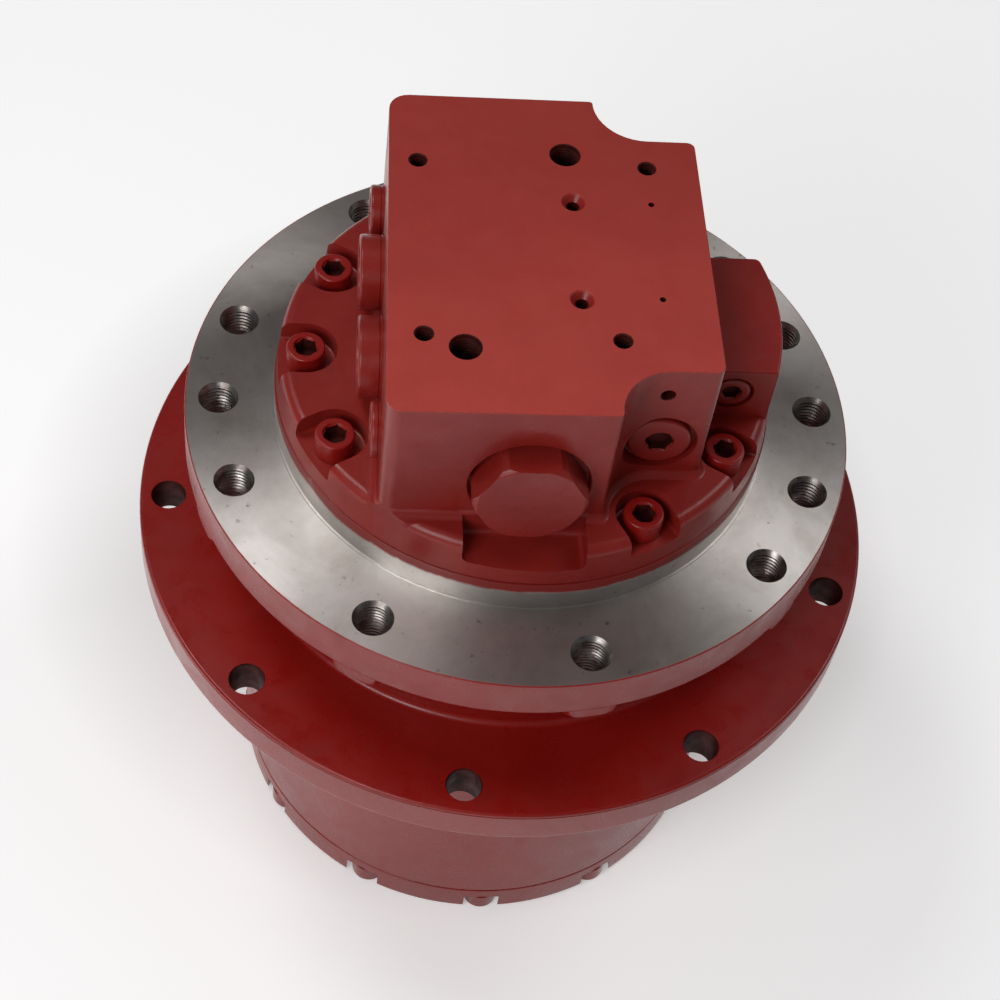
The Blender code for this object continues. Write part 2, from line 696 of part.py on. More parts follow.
def build_spindle():
    bearing_floor = barrel_low + END_WALL_LIP
    spindle = turned("spindle", [
        (end_wall_bore, barrel_low),
        (barrel_radius, barrel_low),
        (barrel_radius, shoulder_level),
        (shoulder_radius, shoulder_level),
        (shoulder_radius, seal_ledge_high),
        (seal_seat, seal_ledge_high),
        (seal_seat, lip_low),
        (lip_outer, lip_low),
        (lip_outer, flange_under),
        (flange_radius, flange_under),
        (flange_radius, flange_face - EDGE_CHAMFER),
        (flange_radius - EDGE_CHAMFER, flange_face),
        (PILOT_RADIUS, flange_face),
        (PILOT_RADIUS, pilot_top),
        (brake_bore, pilot_top),
        (brake_bore, brake_ledge),
        (cavity_radius, brake_ledge),
        (cavity_radius, cavity_floor),
        (shaft_bearing_radius, cavity_floor),
        (shaft_bearing_radius, bearing_floor),
        (end_wall_bore, bearing_floor),
    ], RING_STEPS)
    places = [on_circle(frame_bolt_circle, angle) for angle in FRAME_HOLE_ANGLES]
    lobe = flats_radius(FLANGE_BOSS_RADIUS, HOLE_STEPS)
    lobes = turned_bars("lobes", places, ring_profile(0, lobe, boss_under, flange_under + FACE_GAP), HOLE_STEPS)
    trim = turned("trim", ring_profile(0, flange_radius - FACE_GAP, boss_under - FACE_GAP, flange_face), RING_STEPS)
    apply_boolean(lobes, trim, "INTERSECT")
    apply_boolean(spindle, lobes, "UNION")
    thread = flats_radius(FRAME_THREAD_RADIUS, HOLE_STEPS)
    frame_cut = ring_profile(0, thread, boss_under - FACE_GAP, flange_face + FACE_GAP)
    apply_boolean(spindle, turned_bars("frame_cut", places, frame_cut, HOLE_STEPS))
    hole = flats_radius(SCREW_RADIUS + SEAT_GAP, BOLT_STEPS)
    places = [(x, y, 0) for x, y in motor_screw_places]
    thread_end = pilot_top - SCREW_THREAD_DEPTH - FACE_GAP
    apply_boolean(spindle, turned_bars("screw_cut", places,
                                        ring_profile(0, hole, thread_end, pilot_top + FACE_GAP), BOLT_STEPS))
    dimple = flats_radius(PIVOT_RADIUS + SEAT_GAP, SMALL_STEPS)
    places = [(pivot_circle, 0, cavity_floor), (-pivot_circle, 0, cavity_floor)]
    apply_boolean(spindle, turned_bars("pivot_cut", places, pivot_profile(dimple, FACE_GAP), SMALL_STEPS))
    bore = flats_radius(SPEED_PISTON_RADIUS + SEAT_GAP, BOLT_STEPS)
    speed_cut = ring_profile(0, bore, -SPEED_PISTON_LENGTH - FACE_GAP, FACE_GAP)
    apply_boolean(spindle, turned_bars("speed_cut", [(0, -pivot_circle, cavity_floor)], speed_cut, BOLT_STEPS))
    finish(spindle, "bare_steel")


def pivot_profile(radius, top):
    """Half ball below the cavity floor, carried up to a flat top."""
    return [(0, -radius), (radius * math.sqrt(0.5), -radius * math.sqrt(0.5)), (radius, 0), (radius, top), (0, top)]


# Main bearings: taper rings in the hub and on the spindle, cage with rollers between
def build_main_bearing(prefix, low, narrow_end_up):
    inner_bore = barrel_radius + SEAT_GAP
    high = low + BEARING_WIDTH
    thin = inner_bore + RACE_THIN
    race_low, race_high = (thin + RACE_TAPER, thin) if narrow_end_up else (thin, thin + RACE_TAPER)
    span = 2 * ROLLER_RADIUS
    inner = [(inner_bore, low), (race_low, low), (race_high, high), (inner_bore, high)]
    finish(turned(prefix + "_inner_ring", inner, RING_STEPS), "bearing_steel")
    outer = [(flats_radius(race_low + span, RING_STEPS), low), (bearing_outer, low), (bearing_outer, high),
             (flats_radius(race_high + span, RING_STEPS), high)]
    finish(turned(prefix + "_outer_ring", outer, RING_STEPS), "bearing_steel")

    slope = (race_high - race_low) / BEARING_WIDTH
    middle = (race_low + race_high + span) / 2
    reach = BEARING_WIDTH / 2 - CAGE_THICKNESS
    roller = ROLLER_RADIUS - SEAT_GAP
    lean = Matrix.Rotation(math.atan(slope), 4, "Y")
    place = Matrix.Translation((middle, 0, low + BEARING_WIDTH / 2))
    builder = bmesh.new()
    for index in range(ROLLERS):
        spin = Matrix.Rotation(index * math.tau / ROLLERS, 4, "Z")
        add_turned(builder, ring_profile(0, roller, -reach, reach), SMALL_STEPS, spin @ place @ lean)
    rollers = add_object(prefix + "_rollers", builder)
    wide_end = -1 if narrow_end_up else 1
    cage_level = low + BEARING_WIDTH / 2 + wide_end * reach
    cage_middle = middle + wide_end * slope * reach
    cage = ring_profile(flats_radius(cage_middle - roller / 2, RING_STEPS), cage_middle + roller / 2,
                        cage_level - CAGE_THICKNESS / 2, cage_level + CAGE_THICKNESS / 2)
    apply_boolean(rollers, turned("cage", cage, RING_STEPS), "UNION")
    finish(rollers, "bearing_steel")


# Floating face seal: two lapped metal rings, each carried by a rubber ring
def build_face_seal():
    outer = seal_seat - RUNNING_GAP
    web = seal_inner + SEAL_RING_WEB
    slope = SEAL_RING_LIP / 2
    cord = min((seal_seat - web) / 2 - SEAT_GAP, (SEAL_HEIGHT - SEAL_RING_LIP - slope - SEAT_GAP) / 2)
    for prefix, face, direction in (("lower", seal_mid, -1), ("upper", seal_mid + SEAT_GAP, 1)):
        far = face + direction * SEAL_HEIGHT
        near = face + direction * SEAL_RING_LIP
        outline = [(seal_inner, face), (outer, face), (outer, near), (web, near + direction * slope),
                   (web, far), (seal_inner, far)]
        finish(turned(f"seal_ring_{prefix}", outline, RING_STEPS), "bearing_steel")
        cord_level = near + direction * (slope + SEAT_GAP + cord)
        section = arc((web + seal_seat) / 2, cord_level, cord, 0, 300, 5)
        finish(turned(f"seal_cord_{prefix}", section, RING_STEPS), "rubber")


# Planet carriers, sun gears and planets
def build_gear_train():
    plate = turned("carrier_1", ring_profile(0, CARRIER_1_RADIUS, carrier_1_low, carrier_1_high), RING_STEPS)
    angles = [i * math.tau / PLANETS for i in range(PLANETS)]
    places = [on_circle(CARRIER_1_RADIUS + CARRIER_1_SCALLOP / 2, angle + math.pi / PLANETS) for angle in angles]
    apply_boolean(plate, turned_bars("scallops", places, ring_profile(0, CARRIER_1_SCALLOP,
                  carrier_1_low - FACE_GAP, carrier_1_high + FACE_GAP), TURN_STEPS // 2))
    places = [on_circle(stage_1_radius, angle) for angle in angles]
    apply_boolean(plate, turned_bars("pins", places, ring_profile(0, PIN_1_RADIUS, stage_1_low + FACE_GAP / 2,
                  carrier_1_high - FACE_GAP), HOLE_STEPS), "UNION")
    phase = sun_phase(SUN_2_TEETH, PLANET_2_TEETH)
    socket = gear_outline(SUN_2_TEETH, DEDENDUM, ADDENDUM, -BACKLASH / 2, phase, SEAT_GAP)
    apply_boolean(plate, prism_object("spline", socket, carrier_1_low - FACE_GAP, carrier_1_high + FACE_GAP))
    finish(plate, "gear_steel")
    toothed_gear("sun_2", SUN_2_TEETH, phase, carrier_1_low, stage_2_high, SUN_2_BORE)

    fixed = turned("carrier_2", ring_profile(MAIN_SHAFT_RADIUS + FACE_GAP, shoulder_radius - SHOULDER_STEP / 4,
                                             carrier_2_low, carrier_2_high), RING_STEPS)
    places = [on_circle(stage_2_radius, angle) for angle in angles]
    apply_boolean(fixed, turned_bars("pins", places, ring_profile(0, PIN_2_RADIUS, stage_2_low - FACE_GAP / 2,
                  carrier_2_high - FACE_GAP), HOLE_STEPS), "UNION")
    finish(fixed, "gear_steel")

    stages = (
        ("planet_1", PLANET_1_TEETH, stage_1_radius, stage_1_low, stage_1_high, PIN_1_RADIUS),
        ("planet_2", PLANET_2_TEETH, stage_2_radius, stage_2_low, stage_2_high, PIN_2_RADIUS),
    )
    for prefix, teeth, radius, low, high, pin in stages:
        for letter, angle in zip("abc", angles):
            toothed_gear(f"{prefix}_{letter}", teeth, planet_phase(teeth, angle), low, high, pin + SEAT_GAP,
                         on_circle(radius, angle))

    phase = sun_phase(SUN_1_TEETH, PLANET_1_TEETH)
    outline = gear_outline(SUN_1_TEETH, DEDENDUM, ADDENDUM, -BACKLASH / 2, phase)
    sun = prism_object("sun_1_shaft", outline, pad_top + SEAT_GAP, stage_1_high)
    shaft = turned("shaft", ring_profile(0, SUN_SHAFT_RADIUS, stage_1_high - FACE_GAP,
                                         coupling_low + COUPLING_DEPTH - FACE_GAP), HOLE_STEPS)
    apply_boolean(sun, shaft, "UNION")
    finish(sun, "gear_steel")


# Piston motor inside the spindle
def build_motor():
    bore = SUN_SHAFT_RADIUS + SEAT_GAP
    socket = flats_radius(bore, TURN_STEPS)
    shaft = turned("motor_shaft", [
        (socket, coupling_low),
        (MAIN_SHAFT_RADIUS, coupling_low),
        (MAIN_SHAFT_RADIUS, shaft_tip_top - SHAFT_TIP_LENGTH),
        (SHAFT_TIP_RADIUS, shaft_tip_top - SHAFT_TIP_LENGTH + MAIN_SHAFT_RADIUS - SHAFT_TIP_RADIUS),
        (SHAFT_TIP_RADIUS, shaft_tip_top - EDGE_CHAMFER),
        (SHAFT_TIP_RADIUS - EDGE_CHAMFER, shaft_tip_top),
        (0, shaft_tip_top),
        (0, coupling_low + COUPLING_DEPTH),
        (socket, coupling_low + COUPLING_DEPTH),
    ], TURN_STEPS)
    finish(shaft, "gear_steel")
    shaft_seat = MAIN_SHAFT_RADIUS + SEAT_GAP
    bearing_low = barrel_low + END_WALL_LIP + SEAT_GAP
    bearing = turned("shaft_bearing", ring_profile(flats_radius(shaft_seat, TURN_STEPS),
                     shaft_bearing_radius - 2 * SEAT_GAP, bearing_low, cavity_floor - SEAT_GAP), TURN_STEPS)
    finish(bearing, "bearing_steel")

    swash = turned("swash_plate", ring_profile(SWASH_BORE, swash_radius, SEAT_GAP, SEAT_GAP + SWASH_THICKNESS),
                   TURN_STEPS)
    for vert in swash.data.vertices:
        if vert.co.z > SWASH_THICKNESS / 2:
            vert.co.z += vert.co.y * math.tan(SWASH_ANGLE)
    reach = 2 * swash_radius
    drop = reach * math.tan(SWASH_RELIEF)
    builder = bmesh.new()
    bmesh.ops.create_cube(builder, size=1)
    bmesh.ops.scale(builder, vec=(2 * reach, reach, drop), verts=builder.verts)
    bmesh.ops.translate(builder, vec=(0, reach / 2, SEAT_GAP - drop / 2), verts=builder.verts)
    for vert in builder.verts:
        if vert.co.z > SEAT_GAP - drop / 2 and vert.co.y > reach / 2:
            vert.co.z += drop
    apply_boolean(swash, add_object("relief", builder))
    bumps = turned_bars("bumps", [(pivot_circle, 0, 0), (-pivot_circle, 0, 0)],
                         pivot_profile(PIVOT_RADIUS, SEAT_GAP + PIVOT_RADIUS), SMALL_STEPS)
    apply_boolean(swash, bumps, "UNION")
    finish(swash, "bearing_steel")
    swash.location = (0, 0, cavity_floor)

    dome = SPEED_PISTON_DOME
    piston_top = -SEAT_GAP
    speed = turned("speed_piston", [
        (0, -SPEED_PISTON_LENGTH),
        (SPEED_PISTON_RADIUS, -SPEED_PISTON_LENGTH),
        (SPEED_PISTON_RADIUS, piston_top - dome),
        (SPEED_PISTON_RADIUS / 4, piston_top),
        (0, piston_top),
    ], BOLT_STEPS, location=(0, -pivot_circle, cavity_floor))
    finish(speed, "gear_steel")

    angles = [i * math.tau / PISTONS for i in range(PISTONS)]
    places = [on_circle(PISTON_CIRCLE, angle) for angle in angles]
    block = turned("cylinder_block", ring_profile(flats_radius(shaft_seat, TURN_STEPS), cylinder_block_radius,
                                                  block_low, block_high), TURN_STEPS)
    bore = flats_radius(PISTON_RADIUS + SEAT_GAP, BOLT_STEPS)
    apply_boolean(block, turned_bars("bores", places, ring_profile(0, bore, block_low - FACE_GAP,
                  block_low + CYLINDER_DEPTH), BOLT_STEPS))
    finish(block, "bronze")

    band = RETAINER_BAND
    piston = flats_radius(PISTON_RADIUS, BOLT_STEPS)
    plate_low = shoe_low + SHOE_HEIGHT / 2
    pistons = turned("piston_set", ring_profile(PISTON_CIRCLE - band, PISTON_CIRCLE + band, plate_low,
                                                plate_low + RETAINER_THICKNESS), TURN_STEPS)
    outline = [
        (0, shoe_low),
        (SHOE_RADIUS, shoe_low),
        (SHOE_RADIUS, shoe_low + SHOE_HEIGHT),
        (piston, shoe_low + SHOE_HEIGHT + SHOE_RADIUS - PISTON_RADIUS),
        (piston, block_low + PISTON_IN_BLOCK),
        (0, block_low + PISTON_IN_BLOCK),
    ]
    apply_boolean(pistons, turned_bars("pistons", places, outline, BOLT_STEPS), "UNION")
    finish(pistons, "gear_steel")

    plate_radius = cylinder_block_radius - VALVE_PLATE_INSET
    valve_plate = turned("valve_plate", ring_profile(MAIN_SHAFT_RADIUS + FACE_GAP, plate_radius, valve_plate_low,
                                                     valve_plate_high), TURN_STEPS)
    for side in (0, math.pi):
        outer = PISTON_CIRCLE + KIDNEY_WIDTH / 2
        inner = PISTON_CIRCLE - KIDNEY_WIDTH / 2
        start = math.degrees(side - KIDNEY_ARC / 2)
        end = math.degrees(side + KIDNEY_ARC / 2)
        kidney = arc(0, 0, outer, start, end, 8) + arc(0, 0, inner, end, start, 8)
        apply_boolean(valve_plate, prism_object("kidney", kidney, valve_plate_low - FACE_GAP,
                                                valve_plate_high + FACE_GAP))
    finish(valve_plate, "bronze")

    disc = turned("brake_disc", ring_profile(cylinder_block_radius + SEAT_GAP, brake_bore - FACE_GAP,
                                             brake_disc_low, brake_disc_high), TURN_STEPS)
    finish(disc, "friction")
    piston_bore = cylinder_block_radius + BRAKE_PISTON_CLEARANCE
    piston = turned("brake_piston", ring_profile(piston_bore, brake_bore - SEAT_GAP, brake_piston_low,
                                                 brake_piston_high), RING_STEPS)
    finish(piston, "gear_steel")


# Motor cover
def block_outline():
    """Plan of the valve block: a rectangle with two filleted notches at its right corners."""
    left = -BLOCK_LEFT
    length = BLOCK_HALF_LENGTH
    right = BLOCK_RIGHT
    front_round = BLOCK_FRONT_LEFT_ROUND
    back_round = BLOCK_BACK_LEFT_ROUND
    small = BLOCK_RIGHT_ROUND
    fillet = NOTCH_FILLET
    points = arc(left + front_round, -length + front_round, front_round, 180, 270, 2)
    points += [(NOTCH_SIDE, -length)]
    points += arc(NOTCH_SIDE + fillet, -NOTCH_END - fillet, fillet, 180, 90, 4)
    points += arc(right - small, -NOTCH_END + small, small, 270, 360, 1)
    points += arc(right - small, NOTCH_END - small, small, 0, 90, 1)
    points += arc(NOTCH_SIDE + fillet, NOTCH_END + fillet, fillet, 270, 180, 4)
    points += [(NOTCH_SIDE, length)]
    points += arc(left + BLOCK_LEFT_TAPER + back_round, length - back_round, back_round, 90, 180, 2)
    return points


def ear_outline():
    """Plan of the side ear, with an outer wall that follows the round base."""
    inner = BLOCK_RIGHT - BLOCK_RIGHT_ROUND
    start = math.degrees(math.asin(-EAR_FRONT / ear_radius))
    corner_y = EAR_BACK - EAR_CORNER
    corner_x = math.sqrt((ear_radius - EAR_CORNER) ** 2 - corner_y ** 2)
    end = math.degrees(math.atan2(corner_y, corner_x))
    corner = arc(corner_x, corner_y, EAR_CORNER, end, 90, 1)
    return [(inner, -EAR_FRONT)] + arc(0, 0, ear_radius, start, end, 4)[:-1] + corner + [(inner, EAR_BACK)]


def pocket_outline(centre_x, centre_y, radius):
    """Screw pocket that opens outwards through the rim of the base."""
    outward = math.atan2(centre_y, centre_x)
    degrees = math.degrees(outward)
    points = arc(centre_x, centre_y, radius, degrees + 90, degrees + 270, 5)
    reach = Vector((math.cos(outward), math.sin(outward))) * (base_radius * 0.35)
    first = (points[0][0] + reach.x, points[0][1] + reach.y)
    last = (points[-1][0] + reach.x, points[-1][1] + reach.y)
    return [first] + points + [last]


def build_motor_cover():
    top_radius = base_radius - BASE_DRAFT
    cover = turned("motor_cover", [
        (0, motor_spigot_low),
        (cover_spigot_radius, motor_spigot_low),
        (cover_spigot_radius, motor_cover_low),
        (base_radius, motor_cover_low),
        (top_radius, base_top - BASE_EDGE),
        (top_radius - BASE_EDGE, base_top),
        (0, base_top),
    ], RING_STEPS)
    inside = base_top - BASE_THICKNESS / 2
    apply_boolean(cover, prism_object("block", block_outline(), inside, block_top), "UNION")
    apply_boolean(cover, prism_object("ear", ear_outline(), inside, base_top + EAR_HEIGHT), "UNION")
    for middle, radius, stand in SIDE_BOSSES:
        taper = BLOCK_LEFT_TAPER * (middle + BLOCK_HALF_LENGTH) / (2 * BLOCK_HALF_LENGTH)
        wall = BLOCK_LEFT - taper
        boss = ring_profile(0, radius, wall - radius, wall + stand)
        apply_boolean(cover, turned_bars("boss", [(0, middle, port_level)], boss, HOLE_STEPS, (-1, 0, 0)), "UNION")

    for (x, y), (_, radius) in zip(motor_screw_places, MOTOR_SCREWS):
        apply_boolean(cover, prism_object("pocket", pocket_outline(x, y, radius), screw_floor,
                                          base_top + EDGE_CHAMFER))
    hole = flats_radius(SCREW_RADIUS + SEAT_GAP, BOLT_STEPS)
    places = [(x, y, 0) for x, y in motor_screw_places]
    apply_boolean(cover, turned_bars("screw_cut", places, ring_profile(0, hole, motor_cover_low - FACE_GAP,
                  screw_floor + FACE_GAP), BOLT_STEPS))

    half = WRENCH_POCKET_WIDTH / 2
    for side in (-1, 1):
        near = side * (BLOCK_HALF_LENGTH + SEAT_GAP)
        far = side * base_radius * 1.2
        outline = [(SPOOL_X - half, near), (SPOOL_X + half, near), (SPOOL_X + half, far), (SPOOL_X - half, far)]
        if side < 0:
            outline.reverse()
        apply_boolean(cover, prism_object("wrench", outline, base_top - WRENCH_POCKET_DEPTH,
                                          base_top + EDGE_CHAMFER))

    length = BLOCK_HALF_LENGTH
    bore = flats_radius(SPOOL_BORE, TURN_STEPS)
    thread = flats_radius(HEX_PLUG_THREAD, TURN_STEPS)
    pocket = flats_radius(HEX_COUNTERBORE, TURN_STEPS)
    pocket_floor = length - HEX_COUNTERBORE_DEPTH
    thread_end = pocket_floor - HEX_PLUG_THREAD_LENGTH - FACE_GAP
    spool_cut = [(0, -length - FACE_GAP), (pocket, -length - FACE_GAP), (pocket, -pocket_floor),
                 (thread, -pocket_floor), (thread, -thread_end), (bore, -thread_end), (bore, thread_end),
                 (thread, thread_end), (thread, pocket_floor), (pocket, pocket_floor),
                 (pocket, length + FACE_GAP), (0, length + FACE_GAP)]
    apply_boolean(cover, turned_bars("spool_cut", [(SPOOL_X, 0, port_level)], spool_cut, TURN_STEPS, (0, 1, 0)))
    for side in (-1, 1):
        place = (RELIEF_X, side * NOTCH_END, port_level)
        apply_boolean(cover, plug_hole(RELIEF_PLUG, place, (0, side, 0), NOTCH_FILLET))
        hole = ring_profile(0, LIFTING_HOLE["radius"], -LIFTING_HOLE["depth"], FACE_GAP)
        place = (LIFTING_HOLE["x"], side * NOTCH_END, base_top + LIFTING_HOLE["level"])
        apply_boolean(cover, turned_bars("hole", [place], hole, BOLT_STEPS, (0, side, 0)))
    selector_place = (selector_x, -EAR_FRONT, base_top + SELECTOR_LEVEL)
    apply_boolean(cover, plug_hole(SELECTOR_PLUG, selector_place, (0, -1, 0)))
    for x, y, mouth, bore, depth in TOP_HOLES:
        cut = [(0, -depth), (bore, -depth), (bore, -MOUTH_DEPTH), (mouth, FACE_GAP), (0, FACE_GAP)]
        apply_boolean(cover, turned_bars("port", [(x, y, block_top)], cut, BOLT_STEPS))
    tip = flats_radius(SHAFT_TIP_RADIUS + SEAT_GAP, TURN_STEPS)
    shaft_cut = ring_profile(0, tip, motor_spigot_low - FACE_GAP, shaft_tip_top + SEAT_GAP)
    apply_boolean(cover, turned("shaft_cut", shaft_cut, TURN_STEPS))
    finish(cover, "red_block")

    for side, name in ((-1, "relief_plug_front"), (1, "relief_plug_back")):
        socket_plug(name, RELIEF_PLUG, (RELIEF_X, side * NOTCH_END, port_level), (0, side, 0))
    socket_plug("selector_plug", SELECTOR_PLUG, selector_place, (0, -1, 0))

    grip = screw_floor - pilot_top
    screw = cap_screw_mesh("motor_screw_1", grip)
    screw.location = (*motor_screw_places[0], screw_floor)
    for index, (x, y) in enumerate(motor_screw_places[1:], start=2):
        copy_of(screw, f"motor_screw_{index}", (x, y, screw_floor))


def build_spool():
    """Counterbalance spool and the two big hexagon plugs that close its bore."""
    pocket_floor = BLOCK_HALF_LENGTH - HEX_COUNTERBORE_DEPTH
    plug_end = pocket_floor - HEX_PLUG_THREAD_LENGTH
    half = plug_end - SPOOL_END_SPACE
    profile = [(0, -half), (SPOOL_RADIUS, -half)]
    land = 2 * half / (2 * SPOOL_LANDS - 1)
    for index in range(2 * SPOOL_LANDS - 1):
        radius = SPOOL_NECK if index % 2 else SPOOL_RADIUS
        profile += [(radius, -half + index * land), (radius, -half + (index + 1) * land)]
    profile += [(0, half)]
    profile.pop(2)
    spool = turned("counterbalance_spool", profile, HOLE_STEPS, location=(SPOOL_X, 0, port_level))
    spool.rotation_euler = (-math.pi / 2, 0, 0)
    finish(spool, "gear_steel")

    face = BLOCK_HALF_LENGTH + HEX_PLUG_STAND
    corner = HEX_PLUG_FLATS / math.sqrt(3)
    head = prism_object("spool_plug_front", hexagon(HEX_PLUG_FLATS), pocket_floor + SEAT_GAP, face)
    crown = turned("crown", [
        (0, pocket_floor - FACE_GAP),
        (corner * 0.966, pocket_floor - FACE_GAP),
        (corner * 0.966, face - HEX_PLUG_CHAMFER),
        (corner * 0.892, face),
        (corner * 0.892, face + FACE_GAP),
        (0, face + FACE_GAP),
    ], TURN_STEPS)
    apply_boolean(head, crown, "INTERSECT")
    stem = turned("stem", ring_profile(0, HEX_PLUG_THREAD - SEAT_GAP, plug_end, pocket_floor + FACE_GAP,
                                       EDGE_CHAMFER), HOLE_STEPS)
    apply_boolean(head, stem, "UNION")
    finish(head, "red_block")
    head.location = (SPOOL_X, 0, port_level)
    head.rotation_euler = (math.pi / 2, 0, 0)
    copy_of(head, "spool_plug_back", (SPOOL_X, 0, port_level), (-math.pi / 2, 0, 0))


build_end_cover()
build_hub()
build_spindle()
build_main_bearing("lower_bearing", lower_bearing_low, True)
build_main_bearing("upper_bearing", upper_bearing_low, False)
build_face_seal()
build_gear_train()
build_motor()
build_motor_cover()
build_spool()
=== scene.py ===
# Looks of a final drive: red painted castings, a bare steel frame flange, screws and plugs
import json
import math

import bmesh
import bpy
from mathutils import Matrix, Vector


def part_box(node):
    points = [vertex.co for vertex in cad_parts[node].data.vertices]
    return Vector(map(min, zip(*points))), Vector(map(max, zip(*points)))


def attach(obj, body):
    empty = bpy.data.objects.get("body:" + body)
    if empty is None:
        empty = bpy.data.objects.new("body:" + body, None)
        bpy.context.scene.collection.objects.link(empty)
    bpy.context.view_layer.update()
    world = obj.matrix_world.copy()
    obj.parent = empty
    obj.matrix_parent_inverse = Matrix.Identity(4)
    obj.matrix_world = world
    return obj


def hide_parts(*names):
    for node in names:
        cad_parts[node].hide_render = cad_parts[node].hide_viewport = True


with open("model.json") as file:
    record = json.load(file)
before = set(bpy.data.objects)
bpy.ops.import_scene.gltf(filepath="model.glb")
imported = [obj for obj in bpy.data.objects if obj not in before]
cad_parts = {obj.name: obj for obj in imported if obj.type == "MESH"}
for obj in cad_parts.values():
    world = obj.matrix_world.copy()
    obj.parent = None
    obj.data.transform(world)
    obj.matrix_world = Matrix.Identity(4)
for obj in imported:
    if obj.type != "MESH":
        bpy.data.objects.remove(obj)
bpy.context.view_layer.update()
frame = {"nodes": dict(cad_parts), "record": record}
print("frame loaded")

mm = 0.001  # every size below is in millimetres
gap = 0.3  # room between pieces that meet
zAxis = Vector((0, 0, 1))


def heights(node):
    low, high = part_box(node)
    return low[2] / mm, high[2] / mm


def polar(radius, degrees, height=0.0):
    angle = math.radians(degrees)
    return Vector((radius * math.cos(angle), radius * math.sin(angle), height))


# levels taken from the frame
spigotTop = heights("end_cover")[1]
hubLow, neckTop = heights("hub")
barrelLow, pilotTop = heights("spindle")
motorLow, blockTop = heights("motor_cover")
flangeFace = pilotTop - 15.0
baseTop = pilotTop + 18.0
portLevel = baseTop + 20.5


# meshes


def rounded(bm, points, roundings):
    for point, rounding in zip(points, roundings):
        if rounding:
            count = 3 if rounding < 4 else 4 + int(rounding / 3)
            bmesh.ops.bevel(bm, geom=[point], offset=rounding * mm, offset_type="OFFSET", segments=count,
                            profile=0.5, affect="VERTICES", material=-1)


def spun(corners, steps=96):  # corners are (radius, height) or (radius, height, rounding)
    bm = bmesh.new()
    points = [bm.verts.new((c[0] * mm, 0, c[1] * mm)) for c in corners]
    for i, point in enumerate(points):
        following = points[(i + 1) % len(points)]
        if max(point.co.x, following.co.x) > 0:
            bm.edges.new((point, following))
    rounded(bm, points, [c[2] if len(c) > 2 else 0 for c in corners])
    bmesh.ops.spin(bm, geom=bm.verts[:] + bm.edges[:], cent=(0, 0, 0), axis=(0, 0, 1), angle=2 * math.pi,
                   steps=steps, use_merge=True)
    bmesh.ops.remove_doubles(bm, verts=bm.verts, dist=1e-6)
    bmesh.ops.recalc_face_normals(bm, faces=bm.faces)
    return bm


def extruded(corners, low, high, topRound=0.0, lowRound=0.0, foot=0.0, skirt=0.0):
    bm = bmesh.new()  # corners are (x, y) or (x, y, rounding)
    points = [bm.verts.new((c[0] * mm, c[1] * mm, (low + foot) * mm)) for c in corners]
    bm.faces.new(points)
    rounded(bm, points, [c[2] if len(c) > 2 else 0 for c in corners])
    bm.faces.ensure_lookup_table()
    bottom = bm.faces[0]
    bottom.normal_update()
    if bottom.normal.z > 0:
        bottom.normal_flip()
    made = bmesh.ops.extrude_face_region(bm, geom=[bottom], use_keep_orig=True)["geom"]
    raised = [v for v in made if isinstance(v, bmesh.types.BMVert)]
    bmesh.ops.translate(bm, vec=(0, 0, (high - low - foot) * mm), verts=raised)
    bmesh.ops.recalc_face_normals(bm, faces=bm.faces)
    for level, rounding in ((high, topRound), (low, lowRound)):
        rim = [e for e in bm.edges if all(abs(v.co.z - level * mm) < 1e-6 for v in e.verts)]
        if rounding and rim:
            bmesh.ops.bevel(bm, geom=rim, offset=rounding * mm, offset_type="OFFSET", segments=3, profile=0.5,
                            affect="EDGES", material=-1, clamp_overlap=True)
    if foot:
        bottom = min(bm.faces, key=lambda f: f.calc_center_median().z)
        turned = 0.0
        for step in range(1, 5):  # a hollow fillet, one ring at a time
            angle = step * math.pi / 8
            out = foot * (1 - math.cos(angle)) - foot * (1 - math.cos(turned))
            down = foot * (math.sin(angle) - math.sin(turned))
            bmesh.ops.inset_region(bm, faces=[bottom], thickness=-out * mm, depth=down * mm,
                                   use_even_offset=True)
            turned = angle
        bmesh.ops.inset_region(bm, faces=[bottom], thickness=0.0, depth=skirt * mm)
    return bm


def aimed(place, axis=zAxis, turn=0.0):
    aim = zAxis.rotation_difference(Vector(axis)).to_matrix().to_4x4()
    return Matrix.Translation(Vector(place) * mm) @ aim @ Matrix.Rotation(turn, 4, "Z")


def moved(bm, place, axis=zAxis, turn=0.0):
    bmesh.ops.transform(bm, matrix=aimed(place, axis, turn), verts=bm.verts)
    return bm


def together(parts):
    whole = bmesh.new()
    for part in parts:
        carrier = bpy.data.meshes.new("carrier")
        part.to_mesh(carrier)
        part.free()
        whole.from_mesh(carrier)
        bpy.data.meshes.remove(carrier)
    return whole


def placed(name, bm, materials, lining=0):
    mesh = bpy.data.meshes.new(name)
    for face in bm.faces:
        face.material_index = lining
        face.smooth = True
    bm.to_mesh(mesh)
    bm.free()
    for material in materials:
        mesh.materials.append(material)
    piece = bpy.data.objects.new(name, mesh)
    bpy.context.scene.collection.objects.link(piece)
    return piece


def evaluated(piece):
    bpy.context.view_layer.update()
    mesh = bpy.data.meshes.new_from_object(piece.evaluated_get(bpy.context.evaluated_depsgraph_get()))
    piece.modifiers.clear()
    piece.data = mesh


def shaped(piece, bm, operation="DIFFERENCE", lining=0):  # cuts or joins; lining picks the new faces' material
    tool = placed("tool", bm, list(piece.data.materials), lining)
    change = piece.modifiers.new("shape", "BOOLEAN")
    change.operation = operation
    change.solver = "EXACT"
    change.object = tool
    evaluated(piece)
    bpy.data.objects.remove(tool)


